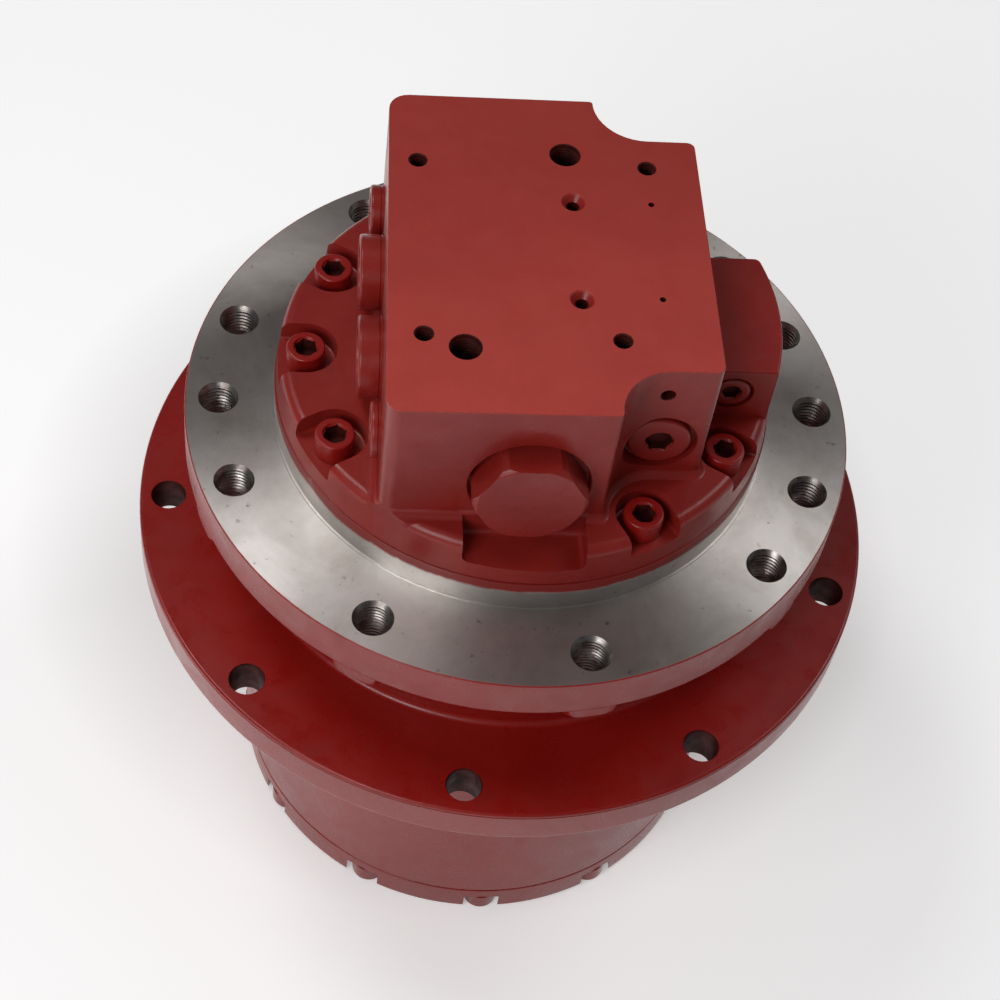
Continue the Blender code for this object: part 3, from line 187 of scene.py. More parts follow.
def finished(piece, body, replaced, sharp=38):
    tidy = bmesh.new()
    tidy.from_mesh(piece.data)
    bmesh.ops.remove_doubles(tidy, verts=tidy.verts, dist=2e-6)
    tidy.to_mesh(piece.data)
    tidy.free()
    piece.data.shade_smooth()
    piece.data.set_sharp_from_angle(angle=math.radians(sharp))
    weight = piece.modifiers.new("normals", "WEIGHTED_NORMAL")
    weight.keep_sharp = True
    weight.weight = 60
    evaluated(piece)
    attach(piece, body)
    if replaced:
        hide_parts(*replaced)
    return piece


def circlePoints(centreX, centreY, radius, start, end, steps):
    points = []
    for i in range(steps + 1):
        spot = polar(radius, start + (end - start) * i / steps)
        points.append((centreX + spot.x, centreY + spot.y))
    return points


def hexagon(flats, turn=0.0):
    return [tuple(polar(flats / math.sqrt(3), 60 * i + turn).xy) for i in range(6)]


def threaded(minor, major, pitch, depth, mouth):  # a hole's shape, mouth at height 0 and the hole below it
    grooveHalf, above = pitch * 0.3, 2
    corners = [(0, -depth), (minor, -depth)]
    level = -depth + pitch
    while level < -pitch * 0.8:
        corners += [(minor, level - grooveHalf), (major, level), (minor, level + grooveHalf)]
        level += pitch
    corners += [(minor, -mouth), (minor + mouth + above, above), (0, above)]  # runs on past the mouth
    return spun(corners, 40)


def drilled(radius, low, high, steps=32):
    return spun([(0, low), (radius, low), (radius, high), (0, high)], steps)


threads = {
    "screw": {"minor": 4.6, "major": 5.3, "pitch": 1.5, "mouth": 0.4},
    "frame": {"minor": 7.05, "major": 7.75, "pitch": 2.0, "mouth": 1.3},
    "port": {"minor": 6.1, "major": 6.6, "pitch": 1.5, "mouth": 0.3},
    "tapped": {"minor": 3.4, "major": 4.0, "pitch": 1.25, "mouth": 0.5},
}


# materials


def materialNodes(name, metallic, roughness):
    material = bpy.data.materials.new(name)
    material.use_nodes = True
    nodes, links = material.node_tree.nodes, material.node_tree.links
    shader = nodes["Principled BSDF"]
    shader.inputs["Metallic"].default_value = metallic
    shader.inputs["Roughness"].default_value = roughness
    where = nodes.new("ShaderNodeTexCoord").outputs["Object"]
    return material, nodes, links, shader, where


def noise(nodes, links, where, scale, detail=4, roughness=0.55, distortion=0.0):
    texture = nodes.new("ShaderNodeTexNoise")
    texture.inputs["Scale"].default_value = scale
    texture.inputs["Detail"].default_value = detail
    texture.inputs["Roughness"].default_value = roughness
    texture.inputs["Distortion"].default_value = distortion
    links.new(where, texture.inputs["Vector"])
    return texture.outputs["Fac"]


def ramp(nodes, links, value, low, high, lowTo=0.0, highTo=1.0):
    spread = nodes.new("ShaderNodeMapRange")
    spread.clamp = True
    for name, number in (("From Min", low), ("From Max", high), ("To Min", lowTo), ("To Max", highTo)):
        spread.inputs[name].default_value = number
    links.new(value, spread.inputs["Value"])
    return spread.outputs["Result"]


def sums(nodes, links, operation, first, second):
    step = nodes.new("ShaderNodeMath")
    step.operation = operation
    for socket, value in zip(step.inputs, (first, second)):
        if isinstance(value, (int, float)):
            socket.default_value = value
        else:
            links.new(value, socket)
    return step.outputs["Value"]


def blend(nodes, links, amount, first, second):
    mix = nodes.new("ShaderNodeMix")
    mix.data_type = "RGBA"
    for socket, value in ((mix.inputs[0], amount), (mix.inputs[6], first), (mix.inputs[7], second)):
        if isinstance(value, tuple):
            socket.default_value = (*value, 1)
        elif isinstance(value, float):
            socket.default_value = value
        else:
            links.new(value, socket)
    return mix.outputs[2]


def bumps(nodes, links, shader, layers):  # layers are (height, strength, distance in mm)
    normal = None
    for height, strength, distance in layers:
        bump = nodes.new("ShaderNodeBump")
        bump.inputs["Strength"].default_value = strength
        bump.inputs["Distance"].default_value = distance * mm
        links.new(height, bump.inputs["Height"])
        if normal:
            links.new(normal, bump.inputs["Normal"])
        normal = bump.outputs["Normal"]
    links.new(normal, shader.inputs["Normal"])


def vectorStep(nodes, links, operation, first, second=None):
    step = nodes.new("ShaderNodeVectorMath")
    step.operation = operation
    for socket, value in zip(step.inputs, (first, second)):
        if isinstance(value, tuple):
            socket.default_value = value
        elif value:
            links.new(value, socket)
    return step.outputs["Vector"]


paintSizes = {
    "hub": {"colour": (0.255, 0.0062, 0.0040), "pale": (0.290, 0.010, 0.007), "dark": (0.165, 0.004, 0.003),
            "dust": (0.34, 0.05, 0.04), "gloss": 0.27, "shine": 0.42, "lumps": 0.07, "grain": 0.02},
    # block: its top colours are painted light, paler on the flat top and paler still towards the front
    "block": {"colour": (0.235, 0.013, 0.0095), "pale": (0.285, 0.020, 0.015), "dark": (0.150, 0.007, 0.0055),
              "dust": (0.34, 0.08, 0.06), "gloss": 0.31, "shine": 0.36, "lumps": 0.34, "grain": 0.06,
              "facedLitTop": (0.345, 0.032, 0.023), "frontLit": (0.46, 0.050, 0.037), "facedGloss": 0.48},
}
paintScales = {"clouds": 22, "patches": 70, "specks": 900, "lumps": 130, "grain": 1100}
frontLitReach = (0.045, -0.07)  # y where the painted light on the block's top, paler towards the front, starts and is full


def redPaint(name, sizes):  # sprayed paint over a casting; the machined top is more matte and is painted paler as painted light from above, and paler still towards the front as painted light
    material, nodes, links, shader, where = materialNodes(name, 0.0, sizes["gloss"])
    shader.inputs["Specular IOR Level"].default_value = sizes["shine"]
    clouds = noise(nodes, links, where, paintScales["clouds"], 5, 0.6)
    patches = noise(nodes, links, where, paintScales["patches"], 4, 0.6, 0.6)
    colour = blend(nodes, links, ramp(nodes, links, clouds, 0.38, 0.66), sizes["colour"], sizes["pale"])
    colour = blend(nodes, links, ramp(nodes, links, patches, 0.60, 0.80, 0.0, 0.5), colour, sizes["dark"])
    # painted light: the flat top paler than the sides, with a more matte faced finish
    if "facedLitTop" in sizes:
        split = nodes.new("ShaderNodeSeparateXYZ")
        links.new(where, split.inputs[0])
        top = ramp(nodes, links, split.outputs["Z"], (blockTop - 0.9) * mm, (blockTop - 0.2) * mm)
        # painted light: the top paler towards the front
        frontLit = ramp(nodes, links, split.outputs["Y"], *frontLitReach)
        facedLitTop = blend(nodes, links, frontLit, sizes["facedLitTop"], sizes["frontLit"])
        facedLitTop = blend(nodes, links, ramp(nodes, links, clouds, 0.3, 0.7, 0.0, 0.3), facedLitTop, sizes["colour"])
        colour = blend(nodes, links, top, colour, facedLitTop)
        extraGloss = ramp(nodes, links, top, 0, 1, 0.0, sizes["facedGloss"] - sizes["gloss"])
    specks = noise(nodes, links, where, paintScales["specks"], 2, 0.5)
    colour = blend(nodes, links, ramp(nodes, links, specks, 0.70, 0.78, 0.0, 0.4), colour, sizes["dust"])
    links.new(colour, shader.inputs["Base Color"])
    gloss = sizes["gloss"]
    worn = ramp(nodes, links, patches, 0.3, 0.75, gloss - 0.05, gloss + 0.12)
    if "facedLitTop" in sizes:
        worn = sums(nodes, links, "ADD", worn, extraGloss)
    links.new(worn, shader.inputs["Roughness"])
    lumps = noise(nodes, links, where, paintScales["lumps"], 3)
    grain = noise(nodes, links, where, paintScales["grain"], 3, 0.6)
    bumps(nodes, links, shader, [(lumps, 0.5, sizes["lumps"]), (grain, 0.5, sizes["grain"])])
    return material


steelSizes = {"light": (0.61, 0.575, 0.55), "dark": (0.43, 0.39, 0.36), "stain": (0.17, 0.11, 0.085),
              "anisotropy": 0.9, "smooth": 0.38, "rough": 0.46, "rings": 420, "clouds": 24, "spots": 260,
              "rim": 139.8, "rimWidth": 0.9, "mistLow": 7.0, "mistHigh": 3.2}


def bareSteel(name, sizes):  # turned face with stains, paint mist on the pilot and along the rim
    material, nodes, links, shader, where = materialNodes(name, 1.0, sizes["smooth"])
    split = nodes.new("ShaderNodeSeparateXYZ")
    links.new(where, split.inputs[0])
    flat = vectorStep(nodes, links, "MULTIPLY", where, (1, 1, 0))
    radial = vectorStep(nodes, links, "NORMALIZE", flat)
    links.new(vectorStep(nodes, links, "ADD", radial, (0, 0, 0.5)), shader.inputs["Tangent"])
    shader.inputs["Anisotropic"].default_value = sizes["anisotropy"]
    rings = nodes.new("ShaderNodeTexWave")
    rings.wave_type = "RINGS"
    rings.rings_direction = "Z"
    rings.inputs["Scale"].default_value = sizes["rings"]
    rings.inputs["Distortion"].default_value = 0.6
    rings.inputs["Detail"].default_value = 2
    links.new(where, rings.inputs["Vector"])
    clouds = noise(nodes, links, where, sizes["clouds"], 6, 0.65, 0.4)
    spots = noise(nodes, links, where, sizes["spots"], 3, 0.6)
    colour = blend(nodes, links, ramp(nodes, links, clouds, 0.38, 0.66), sizes["light"], sizes["dark"])
    colour = blend(nodes, links, ramp(nodes, links, spots, 0.66, 0.76, 0.0, 0.7), colour, sizes["stain"])
    mistLow, mistHigh = (pilotTop - sizes["mistLow"]) * mm, (pilotTop - sizes["mistHigh"]) * mm
    height = ramp(nodes, links, split.outputs["Z"], mistLow, mistHigh)
    mist = sums(nodes, links, "ADD", height, ramp(nodes, links, clouds, 0.3, 0.7, -0.4, 0.4))
    length = nodes.new("ShaderNodeVectorMath")
    length.operation = "LENGTH"
    links.new(flat, length.inputs[0])
    inner, outer = (sizes["rim"] - sizes["rimWidth"]) * mm, sizes["rim"] * mm
    edge = ramp(nodes, links, length.outputs["Value"], inner, outer)
    edge = sums(nodes, links, "ADD", edge, ramp(nodes, links, clouds, 0.3, 0.7, -0.3, 0.15))
    low = ramp(nodes, links, split.outputs["Z"], (flangeFace + 1) * mm, (flangeFace + 2) * mm, 1.0, 0.0)
    edge = sums(nodes, links, "MULTIPLY", edge, low)
    painted = ramp(nodes, links, sums(nodes, links, "MAXIMUM", mist, edge), 0.35, 0.75)
    links.new(blend(nodes, links, painted, colour, paintSizes["block"]["colour"]), shader.inputs["Base Color"])
    links.new(ramp(nodes, links, painted, 0, 1, 1.0, 0.0), shader.inputs["Metallic"])
    links.new(ramp(nodes, links, clouds, 0.3, 0.7, sizes["smooth"], sizes["rough"]), shader.inputs["Roughness"])
    bumps(nodes, links, shader, [(rings.outputs["Fac"], 0.25, 0.02), (spots, 0.3, 0.04)])
    return material


def plainMetal(name, light, dark, roughness, metallic=1.0, scale=180, shine=0.5):
    material, nodes, links, shader, where = materialNodes(name, metallic, roughness)
    shader.inputs["Specular IOR Level"].default_value = shine
    clouds = noise(nodes, links, where, scale, 4, 0.6)
    colour = blend(nodes, links, ramp(nodes, links, clouds, 0.35, 0.7), light, dark)
    links.new(colour, shader.inputs["Base Color"])
    worn = ramp(nodes, links, clouds, 0.3, 0.7, roughness * 0.8, roughness * 1.3)
    links.new(worn, shader.inputs["Roughness"])
    bumps(nodes, links, shader, [(noise(nodes, links, where, scale * 8, 2), 0.2, 0.02)])
    return material


hubPaint = redPaint("hubPaint", paintSizes["hub"])
blockPaint = redPaint("blockPaint", paintSizes["block"])
flangeSteel = bareSteel("flangeSteel", steelSizes)
# steel lining of the threaded holes, darker than the turned face: painted shade inside the holes
shadedThreadSteel = plainMetal("shadedThreadSteel", (0.32, 0.30, 0.285), (0.09, 0.07, 0.065), 0.33)
holeShade = plainMetal("holeShade", (0.075, 0.010, 0.008), (0.030, 0.006, 0.005), 0.55, 0.0, 180, 0.12)
gearSteel = plainMetal("gearSteel", (0.36, 0.36, 0.37), (0.26, 0.26, 0.27), 0.30)
bearingSteel = plainMetal("bearingSteel", (0.64, 0.64, 0.65), (0.52, 0.52, 0.53), 0.18)
bronze = plainMetal("bronzeFace", (0.58, 0.38, 0.18), (0.44, 0.28, 0.12), 0.34)
rubber = plainMetal("blackRubber", (0.035, 0.035, 0.035), (0.02, 0.02, 0.02), 0.75, 0.0)
friction = plainMetal("frictionFacing", (0.13, 0.11, 0.09), (0.08, 0.07, 0.06), 0.85, 0.0)

slotMaterials = {"gear_steel": gearSteel, "bearing_steel": bearingSteel, "bronze": bronze, "rubber": rubber,
                 "friction": friction, "red_paint": hubPaint, "red_block": blockPaint,
                 "bare_steel": flangeSteel}
for entry in frame["record"]["subparts"]:
    node = frame["nodes"][entry["node"]]
    node.data.materials.clear()
    node.data.materials.append(slotMaterials[entry["material_slot"]])
print("materials made")


# screws and plugs

screwSizes = {"head": 8.0, "height": 10.0, "edge": 0.9, "shaft": 5.0, "socket": 8.4, "socketDepth": 6.2}


def socketMouth(socket, top, inset, drop):  # the chamfer round a hexagon socket
    flare = socket / 2 + 0.9
    return spun([(0, top - 1.2), (flare - inset, top - drop), (flare, top - 0.01), (flare + 0.8, top + 0.6),
                 (0, top + 0.6)], 40)


def capScrew(name, place, axis, reach, body, node, turn=0.0):  # place is the head's seat
    s = screwSizes
    bm = spun([(0, -reach), (s["shaft"], -reach, 0.8), (s["shaft"], gap), (s["head"], gap, 0.3),
               (s["head"], s["height"], s["edge"]), (0, s["height"])], 40)
    piece = placed(name, bm, [hubPaint, holeShade])
    top, foot = s["height"] + 1, s["height"] - s["socketDepth"]
    shaped(piece, extruded(hexagon(s["socket"]), foot, top), lining=1)
    shaped(piece, socketMouth(s["socket"], s["height"], 0.6, 0.9))
    piece.data.transform(aimed(place, axis, turn))
    return finished(piece, body, [node])


coverBolts = {"circle": 105.725, "seat": 10.3, "reach": 20.2, "count": 12}
boltAngles = [30 * i for i in range(coverBolts["count"])]
for i, angle in enumerate(boltAngles):
    spot = polar(coverBolts["circle"], angle, coverBolts["seat"])
    capScrew("coverBolt%02d" % (i + 1), spot, -zAxis, coverBolts["reach"], "hub_side",
             "cover_bolt_%02d" % (i + 1), 0.5 * i)

motorScrews = {"circle": 90.5, "angles": [151.0, 180.0, 209.5, -62.8, -31.8, 62.8, 31.8],
               "seat": baseTop - 9.0, "reach": 23.0, "leftPocket": 13.0, "rightPocket": 11.3, "hole": 5.3}
motorScrewPlaces = [tuple(polar(motorScrews["circle"], angle).xy) for angle in motorScrews["angles"]]
for i, (x, y) in enumerate(motorScrewPlaces):
    capScrew("motorScrew%d" % (i + 1), (x, y, motorScrews["seat"]), zAxis, motorScrews["reach"], "frame_side",
             "motor_screw_%d" % (i + 1), 0.7 * i)
print("screws made")


def socketPlug(name, sizes, place, axis, body, node, paint):  # place is where the head lies flush
    end, seat = -sizes["sink"] - sizes["length"], gap - sizes["sink"]
    bm = spun([(0, end), (sizes["thread"], end, 0.8), (sizes["thread"], seat), (sizes["head"], seat, 0.3),
               (sizes["head"], 0, 1.2), (0, 0)], 56)
    piece = placed(name, bm, [paint, holeShade])
    shaped(piece, extruded(hexagon(sizes["socket"]), -sizes["deep"], 1), lining=1)
    shaped(piece, socketMouth(sizes["socket"], 0, 0.5, 0.8))
    piece.data.transform(aimed(place, axis))
    return finished(piece, body, [node])


reliefPlug = {"head": 12.5, "pocket": 15.0, "sink": 4.0, "thread": 9.2, "length": 16.0, "socket": 10.0,
              "deep": 4.0, "x": 46.0, "wall": 61.0, "clear": 21.0}
selectorPlug = {"head": 7.8, "pocket": 9.1, "sink": 3.0, "thread": 5.7, "length": 14.0, "socket": 7.0,
                "deep": 3.0, "x": 79.2, "wall": 30.0, "level": baseTop + 14.1, "clear": 1.0}
oilPlug = {"head": 11.0, "pocket": 12.5, "sink": 5.0, "thread": 7.7, "length": 6.0, "socket": 8.0,
           "deep": 5.0, "circle": 52.0, "recess": 2.0, "angles": {"fill_plug": 75, "drain_plug": 255}}
for side, node in ((-1, "relief_plug_front"), (1, "relief_plug_back")):
    place = (reliefPlug["x"], side * reliefPlug["wall"], portLevel)
    socketPlug("reliefPlug" + ("Front" if side < 0 else "Back"), reliefPlug, place, (0, side, 0),
               "frame_side", node, blockPaint)
socketPlug("selectorPlug", selectorPlug, (selectorPlug["x"], -selectorPlug["wall"], selectorPlug["level"]),
           (0, -1, 0), "frame_side", "selector_plug", blockPaint)
for node, angle in oilPlug["angles"].items():
    place = polar(oilPlug["circle"], angle, oilPlug["recess"])
    socketPlug("fillPlug" if node == "fill_plug" else "drainPlug", oilPlug, place, -zAxis, "hub_side",
               node, hubPaint)

spoolPlug = {"x": -6.0, "flats": 40.0, "stand": 10.0, "seat": 79.3, "thread": 16.2, "reach": 57.0, "wall": 83.0,
             "crown": 22.3, "faceCircle": 20.6, "chamfer": 1.6}
for side in (-1, 1):
    p = spoolPlug
    face = p["wall"] + p["stand"]
    place = (p["x"], 0, portLevel)
    aim = (0, side, 0)
    head = extruded([(x, y, 0.8) for x, y in hexagon(p["flats"])], p["seat"], face + 1)
    piece = placed("spoolPlug" + ("Front" if side < 0 else "Back"), moved(head, place, aim), [blockPaint])
    crown = spun([(0, p["seat"] - 2), (p["crown"], p["seat"] - 2), (p["crown"], face - p["chamfer"], 0.5),
                  (p["faceCircle"], face, 0.5), (0, face)], 72)
    shaped(piece, moved(crown, place, aim), "INTERSECT")
    stem = spun([(0, p["reach"]), (p["thread"], p["reach"], 1), (p["thread"], p["seat"] + 1),
                 (0, p["seat"] + 1)], 56)
    shaped(piece, moved(stem, place, aim), "UNION")
    finished(piece, "frame_side", ["spool_plug_front" if side < 0 else "spool_plug_back"], 24)
print("plugs made")


# end cover

endCover = {"radius": 113.275, "top": 16.5, "recess": 2.0, "recessRadius": 72.0, "spigot": 98.675, "wall": 8.0,
            "inner": 4.0, "pad": 16.0, "padRise": 3.5, "pocket": 11.0, "hole": 5.3}
c = endCover
cover = placed("endCover", spun([
    (0, c["recess"]), (c["recessRadius"], c["recess"], 1), (c["recessRadius"] + c["recess"], 0, 1),
    (c["radius"], 0, 2.2), (c["radius"], c["top"], 0.8), (c["spigot"], c["top"]), (c["spigot"], spigotTop, 1),
    (c["spigot"] - c["wall"], spigotTop, 1), (c["spigot"] - c["wall"] - c["inner"], c["top"] - c["inner"], 2),
    (c["pad"] + c["inner"], c["top"] - c["inner"], 2), (c["pad"], c["top"] + c["padRise"], 0.8),
    (0, c["top"] + c["padRise"])], 144), [hubPaint])
pockets = []
for angle in boltAngles:
    pocket = spun([(0, -1), (c["pocket"] + 0.9, -1), (c["pocket"], 0.9), (c["pocket"], coverBolts["seat"], 0.8),
                   (c["hole"], coverBolts["seat"]), (c["hole"], c["top"] + 1), (0, c["top"] + 1)], 40)
    pockets.append(moved(pocket, polar(coverBolts["circle"], angle)))
shaped(cover, together(pockets))
for angle in oilPlug["angles"].values():
    o = oilPlug
    end, thread = -o["sink"] - o["length"] - 1, o["thread"] + gap
    mouth = spun([(0, end), (thread, end), (thread, -o["sink"]), (o["pocket"], -o["sink"], 0.8),
                  (o["pocket"], -0.6), (o["pocket"] + 0.9, 0.3), (0, 0.3)], 48)
    shaped(cover, moved(mouth, polar(o["circle"], angle, o["recess"]), -zAxis))
finished(cover, "hub_side", ["end_cover"])
print("end cover made")


# hub

hubSizes = {"drum": 113.275, "seat": 98.975, "flange": 160.5, "flangeLow": 158.2, "flangeTop": 176.7,
            "neck": 117.0, "neckBore": 108.5, "sealSeat": 102.0, "bore": 90.3, "rib": 84.0, "fillet": 6.0,
            "edge": 1.3, "line": (2.5, 2.3, 1.9, 1.7), "lineDepth": 0.4,
            "ledge": 177.5, "sealTop": 194.6, "ribLow": 133.2, "ribHigh": 144.2, "threadDepth": 14.8,
            "holes": 9, "holeStart": 20.9, "holeStep": 40, "holeCircle": 148.0, "hole": 7.2}
ringGear = {"teeth": 54, "module": 3.5, "pressure": 25, "inward": 0.8, "depth": 1.85, "slack": 0.25,
            "bore": 90.7, "high": 91.3, "cutHigh": 94.3}


def toothGaps(sizes, low, high):  # the spaces of an internal ring gear as one prism
    teeth, module = sizes["teeth"], sizes["module"]
    pitch = module * teeth / 2
    pressure = math.radians(sizes["pressure"])
    base = pitch * math.cos(pressure)
    involute = math.tan(pressure) - pressure
    levels = [pitch - sizes["inward"] * module + i * (sizes["depth"] * module) / 4 for i in range(5)]
    halves = []
    for radius in levels:
        local = math.acos(min(1, base / radius))
        halves.append(math.pi / (2 * teeth) + sizes["slack"] / pitch + involute - math.tan(local) + local)
    corners = []
    for tooth in range(teeth):
        middle = math.degrees(tooth * 2 * math.pi / teeth)
        for radius, half in zip(levels, halves):
            corners.append(tuple(polar(radius, middle - math.degrees(half)).xy))
        for radius, half in zip(reversed(levels), reversed(halves)):
            corners.append(tuple(polar(radius, middle + math.degrees(half)).xy))
    return extruded(corners, low, high)


h, g = hubSizes, ringGear
lineLevels = [h["flangeTop"] - drop for drop in h["line"]]
hub = placed("hubCasting", spun([
    (h["seat"], hubLow, 0.4), (h["drum"], hubLow, 0.9), (h["drum"], h["flangeLow"], h["fillet"]),
    (h["flange"], h["flangeLow"], 1.5), (h["flange"], lineLevels[0]),
    (h["flange"] - h["lineDepth"], lineLevels[1]), (h["flange"] - h["lineDepth"], lineLevels[2]),
    (h["flange"], lineLevels[3]),
    (h["flange"], h["flangeTop"], h["edge"]), (h["neck"], h["flangeTop"], 3), (h["neck"], neckTop, 1.2),
    (h["neckBore"], neckTop, 0.8), (h["neckBore"], h["sealTop"]), (h["sealSeat"], h["sealTop"], 1),
    (h["sealSeat"], h["ledge"]), (h["bore"], h["ledge"], 1), (h["bore"], h["ribHigh"]),
    (h["rib"], h["ribHigh"], 1), (h["rib"], h["ribLow"], 1), (h["bore"], h["ribLow"]), (h["bore"], g["high"]),
    (g["bore"], g["high"]), (g["bore"], spigotTop + gap), (h["seat"], spigotTop + gap)], 180),
    [hubPaint, gearSteel, shadedThreadSteel, holeShade])
shaped(hub, toothGaps(g, hubLow - 1, g["cutHigh"]), lining=1)
thick = h["flangeTop"] - h["flangeLow"]
holes = [moved(spun([(0, -1), (h["hole"] + 1.5, -1), (h["hole"], 0.5), (h["hole"], thick - 0.4, 0.4),
                     (h["hole"] + 1.4, thick + 1), (0, thick + 1)], 40),
               polar(h["holeCircle"], h["holeStart"] + h["holeStep"] * i, h["flangeLow"]))
         for i in range(h["holes"])]
shaped(hub, together(holes), lining=3)
tapped = [moved(threaded(depth=h["threadDepth"], **threads["screw"]),
                polar(coverBolts["circle"], angle, hubLow), -zAxis) for angle in boltAngles]
shaped(hub, together(tapped), lining=2)
finished(hub, "hub_side", ["hub"])
print("hub made")


# spindle

spindleSizes = {"flange": 140.0, "thickness": 20.0, "pilot": 103.0, "lip": 107.0, "seat": 102.0,
                "shoulder": 80.0, "barrel": 65.0, "cavity": 55.0, "brake": 62.0, "bearing": 31.0, "bore": 18.0,
                "shoulderLow": 168.8, "shoulderTop": 210.4, "seatLow": 198.6, "brakeFloor": 213.7,
                "cavityFloor": 128.9, "bearingFloor": 112.9, "lobe": 15.5, "lobeLow": 5.0, "circle": 126.0,
                "holeTurn": 0.04, "screwDepth": 15}
seatSizes = {"reach": 43, "piston": 8.3, "pistonDepth": 14, "pivot": 4.8}
s = spindleSizes
flangeUnder = flangeFace - s["thickness"]
holeAngles = [40 * i for i in range(9)] + [20, 180, 340]
spindle = placed("spindleCasting", spun([
    (s["bore"], barrelLow, 0.5), (s["barrel"], barrelLow, 1), (s["barrel"], s["shoulderLow"], 0.8),
    (s["shoulder"], s["shoulderLow"], 0.6), (s["shoulder"], s["shoulderTop"], 0.6),
    (s["seat"], s["shoulderTop"]), (s["seat"], s["seatLow"], 0.5), (s["lip"], s["seatLow"], 0.8),
    (s["lip"], flangeUnder, 2.5), (s["flange"], flangeUnder, 1.5), (s["flange"], flangeFace, 0.5),
    (s["pilot"] + 1.1, flangeFace), (s["pilot"] + 1.0, flangeFace + 0.5, 0.3), (s["pilot"], flangeFace + 0.5),
    (s["pilot"], pilotTop, 0.3), (s["brake"], pilotTop, 0.8), (s["brake"], s["brakeFloor"]),
    (s["cavity"], s["brakeFloor"], 0.5), (s["cavity"], s["cavityFloor"], 2),
    (s["bearing"], s["cavityFloor"], 0.5), (s["bearing"], s["bearingFloor"]),
    (s["bore"], s["bearingFloor"])], 180), [hubPaint, flangeSteel, shadedThreadSteel])
lobes = [moved(spun([(0, -s["lobeLow"]), (s["lobe"], -s["lobeLow"], 1.6), (s["lobe"] + 0.7, 1), (0, 1)], 48),
               polar(s["circle"], angle, flangeUnder)) for angle in holeAngles]
lobe = placed("lobes", together(lobes), [hubPaint, flangeSteel, shadedThreadSteel])
within = s["flange"] - 0.5
shaped(lobe, drilled(within, flangeUnder - 9, flangeFace, 180), "INTERSECT")
lobeShape = bmesh.new()
lobeShape.from_mesh(lobe.data)
bpy.data.objects.remove(lobe)
shaped(spindle, lobeShape, "UNION")
through = s["thickness"] + s["lobeLow"] + 1
tapped = [moved(threaded(depth=through, **threads["frame"]), polar(s["circle"], angle, flangeFace),
                turn=s["holeTurn"]) for angle in holeAngles]  # turned, so that no corner meets a lobe's corner
shaped(spindle, together(tapped), lining=2)
screwHoles = [moved(threaded(depth=s["screwDepth"], **threads["screw"]), (x, y, pilotTop))
              for x, y in motorScrewPlaces]
shaped(spindle, together(screwHoles), lining=2)
reach, pivot = seatSizes["reach"], seatSizes["pivot"]
seats = [moved(drilled(seatSizes["piston"], -seatSizes["pistonDepth"], 1), (0, -reach, s["cavityFloor"]))]
seats += [moved(spun([(0, -pivot), (pivot, -pivot, 4.7), (pivot, 1), (0, 1)], 32), (x, 0, s["cavityFloor"]))
          for x in (-reach, reach)]
shaped(spindle, together(seats), lining=2)
for polygon in spindle.data.polygons:
    spot = polygon.center / mm
    out = math.hypot(spot.x, spot.y)
    if polygon.material_index == 0 and spot.z > flangeFace - 0.9 and out < within:
        polygon.material_index = 1
    if polygon.material_index == 0 and out < s["seat"] - 1:
        polygon.material_index = 1
finished(spindle, "frame_side", ["spindle"])
print("spindle made")


# motor cover

motorCover = {"spigot": 61.7, "base": 102.5, "draft": 1.5, "baseEdge": 4.0,
              "front": -83.0, "left": -62.7, "leftBack": -58.7, "notchSide": 24.7, "notchEnd": 61.0,
              "notchFillet": 21.0, "right": 65.0, "edge": 1.0, "foot": 4.0, "skirt": 5.0,
              "rimLow": 101.2, "rimHigh": 101.7, "outside": 140, "core": (-50, 20, 75), "shaftBore": 11.3,
              "earFront": -30.0, "earBack": 32.3, "earCorner": 3.0, "earTop": 27.0, "earRadius": 100.7,
              "wrench": (-30.0, 18.0), "wrenchFloor": 10.0, "wrenchRound": 2.5,
              "bosses": [(-58.0, 11.0, 4.2), (-21.5, 16.5, 9.7), (23.5, 15.5, 9.7), (58.0, 11.0, 5.6)],
              "counterbore": 23.5, "counterboreDepth": 4.0, "spoolBore": 9.0, "spoolThread": 16.5}
m = motorCover
motor = placed("motorCover", spun([
    (0, motorLow), (m["spigot"], motorLow, 0.5), (m["spigot"], pilotTop + gap),
    (m["base"], pilotTop + gap, 0.3), (m["base"] - m["draft"], baseTop, m["baseEdge"]), (0, baseTop)], 180),
    [blockPaint, shadedThreadSteel, holeShade])
half = -m["front"]
block = extruded([
    (m["left"], -half, 6), (m["notchSide"], -half, 1.6), (m["notchSide"], -m["notchEnd"], m["notchFillet"]),
    (m["right"], -m["notchEnd"], 3), (m["right"], m["notchEnd"], 3),
    (m["notchSide"], m["notchEnd"], m["notchFillet"]), (m["notchSide"], half, 1.6), (m["leftBack"], half, 8)],
    baseTop - 0.2, blockTop, topRound=m["edge"], foot=m["foot"], skirt=m["skirt"])
trim = placed("block", block, list(motor.data.materials))
shaped(trim, spun([(0, baseTop - 8), (m["rimLow"], baseTop - 8), (m["rimLow"], baseTop + 0.6),
                   (m["rimHigh"], baseTop + 4.2), (m["outside"], baseTop + 4.3), (m["outside"], blockTop + 2),
                   (0, blockTop + 2)], 180), "INTERSECT")
west, east, north = m["core"]
corePlan = [(west, -north), (east, -north), (east, north), (west, north)]
shaped(motor, extruded(corePlan, baseTop - 8, baseTop + 8), "UNION")
blockShape = bmesh.new()
blockShape.from_mesh(trim.data)
bpy.data.objects.remove(trim)
shaped(motor, blockShape, "UNION")
earStart = math.degrees(math.asin(m["earFront"] / m["earRadius"]))
cornerY = m["earBack"] - m["earCorner"]
cornerX = math.sqrt((m["earRadius"] - m["earCorner"]) ** 2 - cornerY ** 2)
earEnd = math.degrees(math.atan2(cornerY, cornerX))
